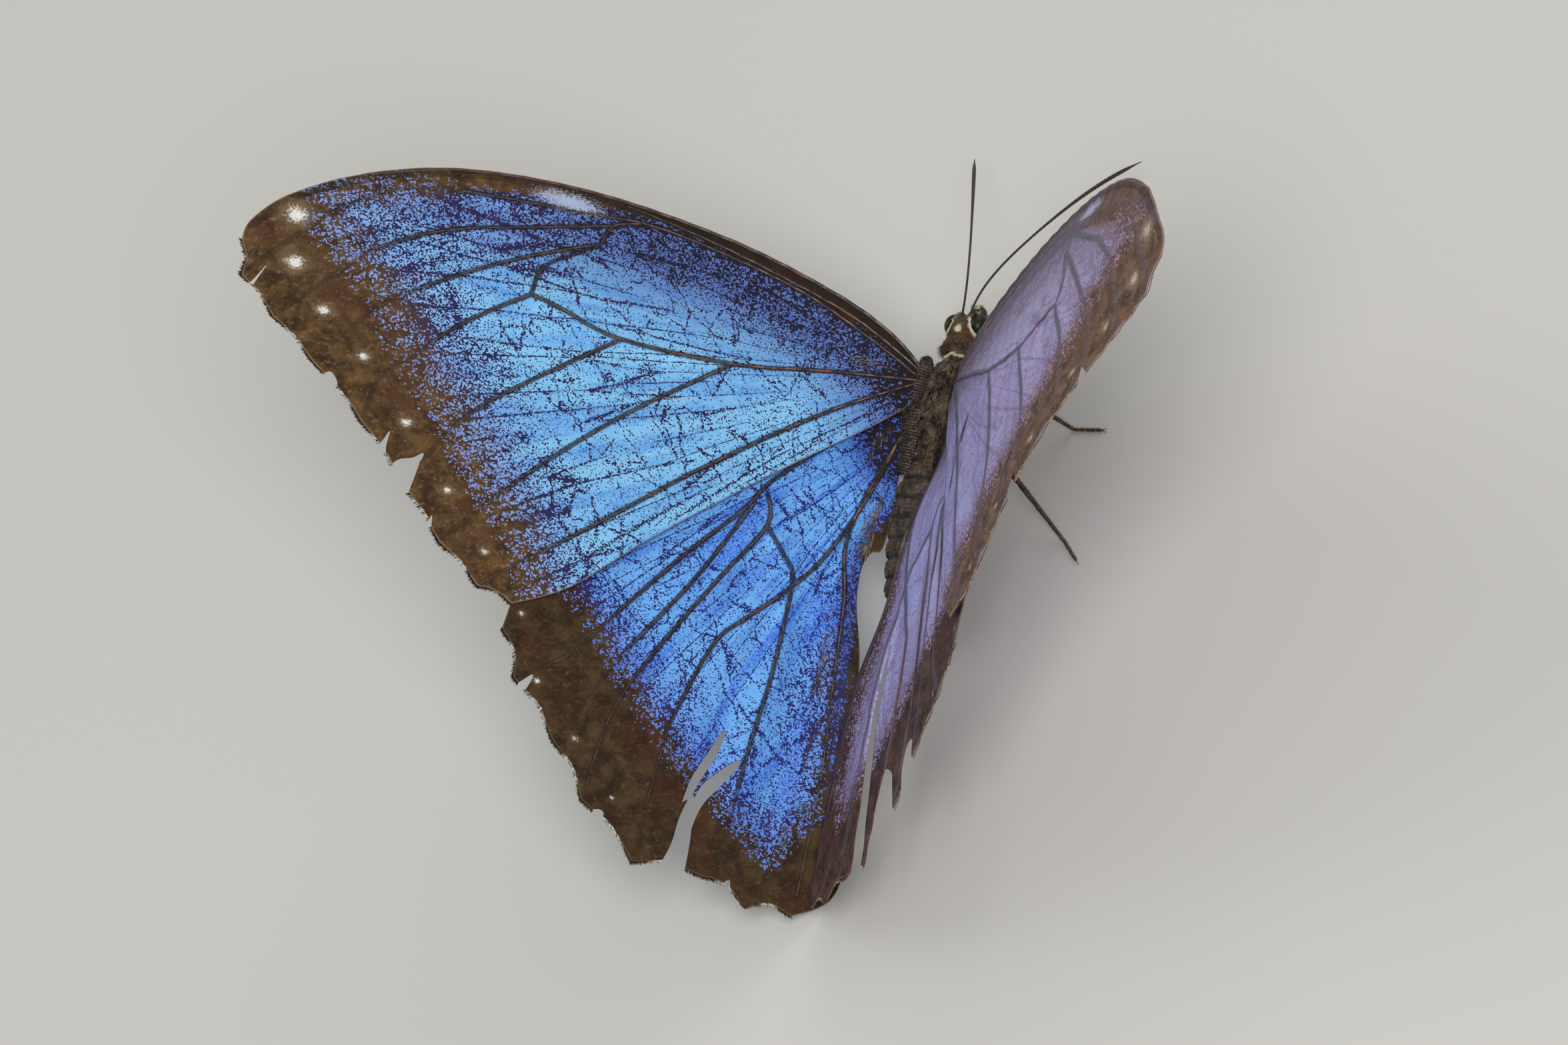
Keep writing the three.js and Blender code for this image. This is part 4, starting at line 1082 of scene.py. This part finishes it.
def hair(name, root, tip, warm, pale, dark):
    """Dry hair: dark at its root, lighter towards its tip, in light and dark patches."""
    material, tree = new_material(name)
    marks = {mark: add(tree, "Attribute", {}, 2, attribute_name=mark)
             for mark in ("along", "shade", "warm", "pale", "dark")}
    place = add(tree, "TexCoord", {}, 3)
    patch = add(tree, "TexNoise", {"Vector": place, "Scale": 900.0, "Detail": 3.0, "Roughness": 0.65})
    reach = add(tree, "Math", {0: marks["shade"], 1: 0.7, 2: marks["along"]}, operation="MULTIPLY_ADD")
    reach = add(tree, "Math", {0: patch, 1: 4.0, 2: reach}, operation="MULTIPLY_ADD")
    level = add(tree, "MapRange", {0: reach, 1: 2.1, 2: 3.6}, **STEP)
    colour = add(tree, "Mix", {0: level, 6: root, 7: tip}, 2, **COLOUR)
    glow = add(tree, "MapRange", {0: level, 3: 0.35, 4: 1.0})
    glow = add(tree, "Math", {0: glow, 1: marks["warm"]}, operation="MULTIPLY")
    for share, tint in ((glow, warm), (marks["pale"], pale), (marks["dark"], dark)):
        colour = add(tree, "Mix", {0: share, 6: colour, 7: tint}, 2, **COLOUR)
    shader = add(tree, "BsdfPrincipled", {"Base Color": colour, "Roughness": 0.6, "IOR": 1.55,
                                          "Specular IOR Level": 0.25})
    add(tree, "OutputMaterial", {0: shader})
    return material


brown_hair = hair("brown_insect_hair", "#150f0b", "#7c6a56", "#694c32", "#e2d8b8", "#0e0a08")


def combed(body, back, out, up):
    """The lie of the hair in the frame: back, outwards and up the body by turns."""
    still = np.zeros(len(body))
    eddy = 0.3 * np.sin(2.3 * body[:, 1] + 1.7 * body[:, 0])
    eddy += 0.25 * np.sin(7.1 * body[:, 0] - 3.7 * body[:, 1])
    lie = np.column_stack([np.sign(body[:, 0]) * out + eddy, still - back, still + up])
    return lie @ STANCE.T


def coat(name, count, low, high, shape, seed, density=lambda body: 1.0):
    """Hair over the body between two places along it, sized and combed by place."""
    def keep(body):
        inside = (body[:, 1] > low) & (body[:, 1] < high) & (eye_depth(body) > 1.03)
        return inside * density(body) * (1 - 0.96 * markings(body)["bare"])
    roots, normal, rng = scatter(skin, count, keep, seed)
    body = body_axes(roots)
    sizes, lie = shape(body, rng.random((4, count)))
    lie = lie + rng.normal(0, 0.16, (count, 3))
    piece = tufts(name, roots, normal, lie, sizes, unrolled(body), markings(body), rng)
    piece.data.materials.append(brown_hair)


def thorax_hair(body, chance):
    side, ahead, dorsal = body.T
    length = (0.5 + 0.55 * chance[0] ** 2) * (0.75 + 0.25 * smoothstep(3.8, 2.0, ahead))
    length *= 1 + 0.5 * smoothstep(-2, -4, dorsal) - 0.4 * smoothstep(3.3, 3.6, ahead)
    tousle = 0.3 * np.sin(5.3 * side + 2.1 * ahead) * np.sin(4.7 * ahead - 1.9 * side)
    rise = np.clip(0.2 + 0.7 * tousle + 0.15 * chance[2], 0.05, 0.8)
    return (length, 0.06 + 0.05 * chance[1], rise, 0.14), combed(body, 1.0, 0.25, 0.05)


def head_hair(body, chance):
    ahead = body[:, 1]
    pale = markings(body)["pale"]
    length = (0.22 + 0.3 * chance[0]) * (1 - 0.2 * pale)
    nape = smoothstep(5.3, 4.7, ahead) * (1 - pale)
    length *= 1 + 2.4 * nape
    back = np.where(ahead < 6.3, 1.0, -0.6)
    up = np.where(ahead < 6.3, 0.1, 0.5)
    rise = 0.28 + 0.3 * chance[2] * (1 - 0.7 * pale) + 0.5 * nape
    return (length, 0.05 + 0.04 * chance[1], rise, 0.12), combed(body, back, 0.1, up)


def even_hair(length, width, rise, curl, comb):
    """Hair that is alike all over: each size is a least value and how much may be added."""
    def shape(body, chance):
        sizes = [least + more * draw for (least, more), draw in zip((length, width, rise), chance)]
        return (*sizes, curl), combed(body, *comb)
    return shape


wing_root_hair = even_hair((0.6, 0.6), (0.07, 0.05), (0.1, 0.25), 0.15, (1.0, 1.0, 0.3))
palp_hair = even_hair((0.16, 0.16), (0.05, 0.03), (0.2, 0.2), 0.08, (-0.7, 0.05, 0.7))
abdomen_hair = even_hair((0.2, 0.2), (0.06, 0.04), (0.05, 0.1), 0.04, (1.0, 0.0, 0.0))
collar_scales = even_hair((0.4, 0.25), (0.1, 0.06), (0.7, 0.3), 0.15, (0.8, 0.3, 0.2))


def off_grooves(body):
    return 1 - 0.9 * markings(body)["dark"]


def at_wing_root(body):
    beside = (np.abs(body[:, 0]) > 1.2) & (body[:, 2] > 0.2) & (body[:, 2] < 2.1)
    return beside.astype(float)


def on_collar(body):
    return (markings(body)["pale"] > 0.4) * (body[:, 1] < 3.8)


coat("hair_thorax_front", 15000, -2.2, 4.5, thorax_hair, 11)
coat("hair_thorax_back", 15000, -8.2, -2.2, thorax_hair, 12)
coat("hair_wing_roots", 4200, -6.0, 2.2, wing_root_hair, 17, at_wing_root)
coat("hair_collar", 700, 2.6, 3.9, collar_scales, 18, on_collar)
coat("hair_head", 16000, 4.0, 7.9, head_hair, 13)
coat("hair_palps", 5000, 7.2, 10.0, palp_hair, 14, lambda body: (body[:, 2] < -0.3) * 1.0)
coat("hair_abdomen_front", 9000, -15.6, -8.0, abdomen_hair, 15, off_grooves)
coat("hair_abdomen_back", 8000, -24.2, -15.6, abdomen_hair, 16, off_grooves)

# ---- Eyes ---------------------------------------------------------------------------
# Large domed compound eyes of thousands of hexagonal lenses, 0.03 mm across, smooth
# to look at, nearly black with a green cast. They are set in the sides of the head
# and ringed by pale scales.

eye_lens, tree = new_material("compound_eye_lens")
place = add(tree, "TexCoord", {}, 3)
lenses = add(tree, "TexVoronoi", {"Vector": place, "Scale": 11000.0})      # drawn 0.09 mm
tint = add(tree, "TexNoise", {"Vector": place, "Scale": 900.0, "Detail": 2.0})
tint = add(tree, "MapRange", {0: tint, 1: 0.35, 2: 0.65}, **STEP)
colour = add(tree, "Mix", {0: tint, 6: "#070b09", 7: "#131d16"}, 2, **COLOUR)
bump = add(tree, "Bump", {"Strength": 0.15, "Distance": 0.00002, "Height": lenses}, invert=True)
add(tree, "OutputMaterial", {0: add(tree, "BsdfPrincipled", {
    "Base Color": colour, "Normal": bump, "Roughness": 0.4, "IOR": 1.5,
    "Specular IOR Level": 0.3})})

for side_name, side in SIDES.items():
    bpy.ops.object.select_all(action="DESELECT")
    bpy.ops.mesh.primitive_uv_sphere_add(segments=64, ring_count=40, radius=1)
    eye = bpy.context.object
    eye.name = eye.data.name = f"eye_dome_{side_name}"
    move_to(eye, stand(positions(eye) * EYE_AXES + EYE * [side, 1, 1]))
    face_outwards(eye)
    eye.data.materials.append(eye_lens)
    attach(eye, "root")
    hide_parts(f"eye_{side_name}")

# ---- Feelers ------------------------------------------------------------------------
# Each feeler is a jointed thread of some fifty short segments of dark chitin, a
# quarter of a millimetre thick, that swells slowly to a slim club. It grows from a
# socket on the top of the head.

FEELER_RADIUS = 0.115
CLUB_RADIUS = 0.2
SEGMENT = 0.45
FEELER_ROOT = (0.45, 7.1, -0.2)               # out, ahead and dorsal, in body axes
FEELER_REACH = (8.9, 19.7, -8.55)             # from there to the tip
BOW = {"left": 0, "right": 0.75}
FEELER_RINGS = 260
LIMB_SIDES = 10


def rings_along(line, radius, sides):
    """Rings of points square to a line in body axes, without any twist."""
    heading = unit(np.gradient(line, axis=0))
    across = np.cross(heading[0], [0.3, 0.2, 0.93])
    turns = np.linspace(0, 2 * np.pi, sides, endpoint=False)
    rings = []
    for place, ahead, size in zip(line, heading, radius):
        across = across - ahead * (across @ ahead)
        across /= np.linalg.norm(across)
        beside = np.cross(ahead, across)
        rings.append(place + size * (np.outer(np.cos(turns), across) + np.outer(np.sin(turns), beside)))
    return np.array(rings)


def jointed(run, radius, segment, depth):
    """A radius drawn in at every joint."""
    return radius * (1 - depth * np.abs(np.cos(np.pi * run / segment)) ** 10)


def chitin(name, dark, light, ring, joint_length):
    """Dark hard chitin with fine cross rings and a dull gloss."""
    material, tree = new_material(name)
    run = add(tree, "Attribute", {}, 2, attribute_name="run")
    place = add(tree, "TexCoord", {}, 3)
    mottle = add(tree, "TexNoise", {"Vector": place, "Scale": 2500.0, "Detail": 4.0, "Roughness": 0.65})
    mottle = add(tree, "MapRange", {0: mottle, 1: 0.35, 2: 0.65}, **STEP)
    colour = add(tree, "Mix", {0: mottle, 6: dark, 7: light}, 2, **COLOUR)
    wave = add(tree, "Math", {0: run, 1: 2 * math.pi / joint_length}, operation="MULTIPLY")
    wave = add(tree, "Math", {0: wave}, operation="COSINE")
    wave = add(tree, "MapRange", {0: wave, 1: 0.6, 2: 0.95, 4: 0.5}, **STEP)
    colour = add(tree, "Mix", {0: wave, 6: colour, 7: ring}, 2, **COLOUR)
    grit = add(tree, "TexNoise", {"Vector": place, "Scale": 12000.0, "Detail": 2.0})
    bump = add(tree, "Bump", {"Strength": 0.5, "Distance": 0.00003, "Height": grit})
    add(tree, "OutputMaterial", {0: add(tree, "BsdfPrincipled", {
        "Base Color": colour, "Normal": bump, "Roughness": 0.45, "IOR": 1.56})})
    return material


feeler_chitin = chitin("feeler_chitin", "#0d0908", "#2c1e16", "#4a3b2d", SEGMENT)
for side_name, side in SIDES.items():
    t = np.linspace(0, 1, FEELER_RINGS)
    out, ahead, dorsal = (root + reach * t ** power for root, reach, power
                          in zip(FEELER_ROOT, FEELER_REACH, (1.6, 1, 1.9)))
    dorsal = dorsal - BOW[side_name] * np.sin(np.pi * t) ** 2
    line = np.column_stack([side * out, ahead, dorsal])
    run = lengths_along(line)
    radius = FEELER_RADIUS + (CLUB_RADIUS - FEELER_RADIUS) * smoothstep(0.45, 0.92, t)
    radius = jointed(run, radius, SEGMENT, 0.12) * (1 - 0.75 * smoothstep(0.9, 1.0, t) ** 1.5)
    radius *= 1 + 1.1 * np.exp(-(run / 0.35) ** 2)
    feeler = lofted(f"feeler_{side_name}", [stand(rings_along(line, radius, LIMB_SIDES))])
    paint(feeler, "run", np.r_[np.repeat(run, LIMB_SIDES), run[[0, -1]]])
    feeler.data.materials.append(feeler_chitin)
    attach(feeler, "root")
    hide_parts(f"antenna_{side_name}")

# ---- Legs ---------------------------------------------------------------------------
# Four walking legs of jointed chitin, each with a thick thigh, a thin spined shin and a
# foot of short joints with two claws, and two small brush-like forelegs folded under
# the chest. They are clothed in short flat hair down to the feet.

# Joints in body axes, places on the floor, and the radius at each of them.
LEG_LINES = {
    "fore": ([(1.3, 1.6, -3.9), (1.7, 3.9, -4.7), (1.2, 5.6, -4.3)], [], (0.36, 0.30, 0.24)),
    "mid": ([(1.6, -1.0, -4.6), (5.8, 0.7, -4.8)], [(8.9, -0.5), (12.1, -0.5)],
            (0.38, 0.25, 0.18, 0.16)),
    "hind": ([(1.5, -4.4, -4.3), (6.8, -7.2, -3.9)], [(12.2, -12.6), (14.1, -14.5)],
             (0.38, 0.25, 0.18, 0.16)),
}
SOLE = 0.19                                   # height of a foot's middle over the floor
LEG_STEP = 0.09
TOE_JOINT = 0.62
NO_RING = TOE_JOINT / 2                       # a place between two rings, for plain chitin
CLAW_LONG = 0.5
CLAW_RADIUS = 0.06
CLAW_RINGS = 9
CLAW_SIDES = 6
SPINES = 0.12                                 # the share of tufts that are stiff spines
leg_chitin = chitin("leg_chitin", "#2a1c12", "#654830", "#7a5c40", TOE_JOINT)
leg_hair = hair("leg_hair", "#21170f", "#6e5640", "#85603c", "#b5a684", "#120d0a")


def on_floor(out, ahead, height):
    """A point at a height over the floor, in body axes."""
    dorsal = (height - ORIGIN[2] - ahead * math.sin(PITCH)) / math.cos(PITCH)
    return (out, ahead, dorsal)


def leg_tubes(corners, sizes):
    """A tube for each joint of a leg, and how far along it each of its points lies."""
    parts, runs = [], []
    for number, (a, b) in enumerate(zip(corners, corners[1:])):
        length = np.linalg.norm(b - a)
        share = np.linspace(0, 1, max(8, round(length / LEG_STEP)))
        run = share * length
        radius = sizes[number] + (sizes[number + 1] - sizes[number]) * share
        thigh, foot = number == 0, number == 2
        if thigh:
            radius = radius * (1 + 0.22 * np.sin(np.pi * share ** 0.8))
        if foot:
            radius = jointed(run, radius, TOE_JOINT, 0.3)
        radius[[0, -1]] *= 0.7
        parts.append(stand(rings_along(a + (b - a) * share[:, None], radius, LIMB_SIDES)))
        runs.append(np.r_[np.repeat(run if foot else NO_RING + 0 * run, LIMB_SIDES), NO_RING, NO_RING])
    return parts, runs


def claws(toe, heading):
    """Two claws that part from the tip of a foot and hook down."""
    t = np.linspace(0, 1, CLAW_RINGS)
    parts = []
    for spread in (-0.35, 0.35):
        claw = toe + np.outer(t * CLAW_LONG, heading)
        claw[:, 1] += spread * t * abs(heading[0]) * 0.6
        claw[:, 0] += spread * t * abs(heading[1]) * 0.6
        claw[:, 2] += 0.06 * np.sin(np.pi * t) - 0.1 * t
        parts.append(stand(rings_along(claw, CLAW_RADIUS * (1 - 0.85 * t), CLAW_SIDES)))
    return parts, [np.full(CLAW_RINGS * CLAW_SIDES + 2, NO_RING)] * 2


for side_name, side in SIDES.items():
    for pair, (joints, feet, sizes) in LEG_LINES.items():
        corners = np.array(list(joints) + [on_floor(out, ahead, SOLE) for out, ahead in feet])
        corners = corners * [side, 1, 1]
        parts, runs = leg_tubes(corners, sizes)
        if feet:
            heading = corners[-1] - corners[-2]
            hooks, plain = claws(corners[-1], heading / np.linalg.norm(heading))
            parts += hooks
            runs += plain
        leg = lofted(f"leg_shell_{pair}_{side_name}", parts)
        paint(leg, "run", np.concatenate(runs))
        leg.data.materials.append(leg_chitin)
        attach(leg, "root")
        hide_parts(f"leg_{pair}_{side_name}")

        count = 1500 if feet else 900
        roots, normal, rng = scatter(leg, count, lambda body: 1.0, 40 + side + 3 * len(joints))
        body = body_axes(roots)
        away = (corners[-1] - corners[0]) @ STANCE.T
        low = smoothstep(1.2, 3.0, roots[:, 2])
        spine = rng.random(count) < SPINES * (roots[:, 2] < 4)
        length = np.where(spine, 0.34, (0.12 + 0.22 * low) * (0.7 + 0.6 * rng.random(count)))
        sizes = (length * (1 if feet else 1.9), np.where(spine, 0.05, 0.07),
                 np.where(spine, 0.75, 0.3), 0.05)
        marks = {"pale": 0.5 * (rng.random(count) < 0.12), "warm": 0.3, "dark": 1.0 * spine}
        lie = away + rng.normal(0, 0.8, (count, 3))
        along = (body[:, 1] + BODY_END) / BODY_LENGTH
        around = np.column_stack([0.5 + 0.03 * np.abs(body[:, 0]), along])
        piece = tufts(f"hair_leg_{pair}_{side_name}", roots, normal, lie, sizes, around, marks, rng)
        piece.data.materials.append(leg_hair)

# ---- Wing roots -----------------------------------------------------------------------
# Where a wing joins the thorax its veins swell into small hard plates of brown chitin
# in a pleated skin, and a hairy cap, the tegula, covers the forewing's joint.

TEGULA_PLACE = (2.15, 1.5, 1.15)
TEGULA_SIZE = (0.75, 0.95, 0.4)
TEGULA_RINGS = 24
TEGULA_SIDES = 16
PLEAT = 0.3                                   # from one pleat of the skin to the next
PLEAT_RINGS = 12
PLEAT_RADIUS = 0.32
PLEAT_ARCH = 0.15
SKIN_OUT = 0.9                                # how far out the skin reaches on the wing, and
SKIN_TAPER = 0.75                             # how much less at its last pleat
THORAX_SIDE = 1.3                             # where the pleats start on the thorax
THORAX_DORSAL = 0.7
FIRST_PLEAT = 1.2
LAST_PLEAT = -9.4
FORE_LAST = -2.4                              # where the hindwing's root takes over
root_chitin = chitin("wing_root_chitin", "#120c08", "#35261b", "#2a1d14", TOE_JOINT)

for side_name, side in SIDES.items():
    parts = []
    for ahead in np.arange(FIRST_PLEAT, LAST_PLEAT, -PLEAT):
        kind = "fore" if ahead > FORE_LAST else "hind"
        narrow = smoothstep(-3.5, LAST_PLEAT, ahead)
        out = np.array([SKIN_OUT - SKIN_TAPER * narrow])
        end = body_axes(on_wing(kind, side, out, np.array([ahead]), 0) / MM)[0]
        start = np.array([THORAX_SIDE * side, end[1], THORAX_DORSAL])
        t = np.linspace(0, 1, PLEAT_RINGS)[:, None]
        line = start + (end - start) * t + np.array([0, 0, PLEAT_ARCH]) * np.sin(np.pi * t)
        bulge = (PLEAT_RADIUS - 0.1 * narrow) * (1 - 0.5 * t[:, 0])
        parts.append(stand(rings_along(line, bulge, LIMB_SIDES)))
    t = np.linspace(-1, 1, TEGULA_RINGS)
    wide, long, high = TEGULA_SIZE
    line = np.array(TEGULA_PLACE) * [side, 1, 1] + t[:, None] * [0, long, 0]
    cap = rings_along(line, wide * np.sqrt(np.maximum(1 - t * t, 0.01)), TEGULA_SIDES)
    cap[..., 2] = TEGULA_PLACE[2] + (cap[..., 2] - TEGULA_PLACE[2]) * high / wide
    parts.append(stand(cap))
    roots = lofted(f"wing_roots_{side_name}", parts)
    paint(roots, "run", np.full(len(roots.data.vertices), NO_RING))
    roots.data.materials.append(root_chitin)
    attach(roots, "root")

    base, normal, rng = scatter(roots, 4000, lambda body: (body[:, 2] > 0.4) * 1.0, 50 + side)
    body = body_axes(base)
    sizes = (0.4 + 0.4 * rng.random(len(base)), 0.07, 0.1 + 0.25 * rng.random(len(base)), 0.12)
    lie = combed(body, 0.9, 0.9, 0.0) + rng.normal(0, 0.2, (len(base), 3))
    marks = {"pale": 0.0, "warm": 0.3, "dark": 0.7 * (rng.random(len(base)) < 0.6)}
    piece = tufts(f"hair_tegula_{side_name}", base, normal, lie, sizes, unrolled(body), marks, rng)
    piece.data.materials.append(brown_hair)

# ---- Wing hair and fringe ---------------------------------------------------------------
# Soft hair lies over the wings' roots and the hindwings' inner strips. A short fringe of
# hair-scales edges each wing: brown at the vein ends, white in the hollows, and much
# worn away.

FRINGE_STEP = 0.05
TUFTS = 1300
HAIR_WAY = {"fore": (1.0, -0.5), "hind": (0.12, -1.0)}      # out and ahead along the wing
NUDGE = 0.01                                  # a short step that gives a direction
WING_CORNER = (-6, -57)                       # the wings' least places out and ahead, and
WING_EXTENT = (74, 68)                        # their reach from there
wing_hair = {
    "left": hair("wing_hair", "#241a12", "#6e5b45", "#7a6038", "#dcd6c6", "#140e0b"),
    # The right wings' hair takes paler, greyer colours: the lilac sheen of wings seen aslant, painted in.
    "right": hair("wing_hair_painted_sheen", "#4a3a34", "#87766c", "#8a7252", "#c9b8a4", "#2c211d"),
}


def hair_on_wing(name, kind, side_name, at, heading, sizes, marks, rng, face):
    """Tufts rooted on one face of a wing, or in its edge, laid along its plane."""
    side = SIDES[side_name]
    place = [on_wing(kind, side, *(at + step).T, above + wing_ripple(at)) / MM
             for step, above in ((0, face), (NUDGE * heading, face), (0, face + NUDGE))]
    lie, normal = (place[1] - place[0]) / NUDGE, (place[2] - place[0]) / NUDGE
    normal *= np.sign(face) if face else 1
    unwrapped = np.clip((at - WING_CORNER) / WING_EXTENT, 0.01, 0.99)
    piece = tufts(name, place[0], normal, lie, sizes, unwrapped, marks, rng)
    piece.data.materials.append(wing_hair[side_name])


def fringe(kind, side_name, rng):
    """Hair-scales set in the margin of one wing, where no tear has taken it."""
    wing = WINGS[kind]
    edge = scalloped(wing["ends"], wing["hollow"], FRINGE_STEP)
    for tear in TEARS[f"wing_{kind}_{side_name}"]:
        edge = edge[within(edge, np.array(tear)) < 0.02]
    between = np.min([np.linalg.norm(edge - end, axis=1) for end in wing["ends"]], axis=0)
    heading = unit(np.column_stack([edge[:, 0] - 20, edge[:, 1] + 12 + 8 * (kind == "hind")]))
    heading += rng.normal(0, 0.25, heading.shape)
    hollow = smoothstep(1.3, 2.0, between) * (rng.random(len(edge)) < 0.75)
    sizes = ((0.25 + 0.25 * rng.random(len(edge))) * (1 - 0.3 * hollow), 0.09, 0.0, 0.0)
    marks = {"pale": hollow, "warm": 0.2, "dark": 0.5 * (1 - hollow)}
    hair_on_wing(f"fringe_{kind}_{side_name}", kind, side_name, edge - 0.05 * heading, heading,
                 sizes, marks, rng, 0.0)


def soft_hair(kind, side_name, rng):
    """Long hair over the forewing's root, or down the hindwing's inner strip."""
    out, back = rng.random(TUFTS) ** 1.5 * 7, rng.random(TUFTS)
    if kind == "fore":
        at = np.column_stack([0.4 + out * 0.8, 0.5 - back * (1.6 + 0.5 * out)])
    else:
        at = np.column_stack([0.8 + out * 0.3, -4 - back * 28])
    at = at[within(at, WINGS[kind]["outline"]) > 0.25]
    heading = HAIR_WAY[kind] + rng.normal(0, 0.15, at.shape)
    sizes = (0.7 + 0.8 * rng.random(len(at)), 0.07, 0.1 + 0.1 * rng.random(len(at)), 0.08)
    marks = {"pale": 0.35 * (rng.random(len(at)) < 0.25), "warm": 0.35, "dark": 0.0}
    hair_on_wing(f"hair_wing_{kind}_{side_name}", kind, side_name, at, heading, sizes, marks, rng,
                 MEMBRANE / 2)


for kind in WINGS:
    for number, side_name in enumerate(SIDES):
        rng = np.random.default_rng(60 + number)
        fringe(kind, side_name, rng)
        soft_hair(kind, side_name, rng)

# ---- Floor and light ------------------------------------------------------------------
# A plain board painted a pale matt grey, wide enough to fill any view, under three
# large soft lamps, as in a studio, and a faint even light from all around.

FLOOR_SIZE = 8                                # metres
bpy.ops.mesh.primitive_plane_add(size=FLOOR_SIZE, location=(0, 0, 0))
floor = bpy.context.object
floor.name = "floor"
material, tree = new_material("painted_board")
add(tree, "OutputMaterial", {0: add(tree, "BsdfPrincipled", {"Base Color": "#cfccc5", "Roughness": 0.9})})
floor.data.materials.append(material)

# Each lamp's place and size, in metres, and its power, in watts.
LIGHTS = {
    "key": ((-0.45, 0.35, 0.75), 0.5, 5.6),
    "fill": ((0.7, -0.1, 0.5), 0.6, 1.6),
    "front": ((-0.1, -0.8, 0.5), 0.6, 1.4),
}
for name, (place, size, power) in LIGHTS.items():
    data = bpy.data.lights.new(name, "AREA")
    data.shape = "DISK"
    data.size = size
    data.energy = power
    lamp = bpy.data.objects.new(name, data)
    bpy.context.scene.collection.objects.link(lamp)
    lamp.location = place
    lamp.rotation_euler = Vector(place).to_track_quat("Z", "Y").to_euler()

world = bpy.data.worlds.new("studio")
bpy.context.scene.world = world
world.use_nodes = True
world.node_tree.nodes["Background"].inputs["Color"].default_value = srgb("#e8ecf0")
world.node_tree.nodes["Background"].inputs["Strength"].default_value = 0.35
bpy.context.scene.view_settings.view_transform = "Standard"
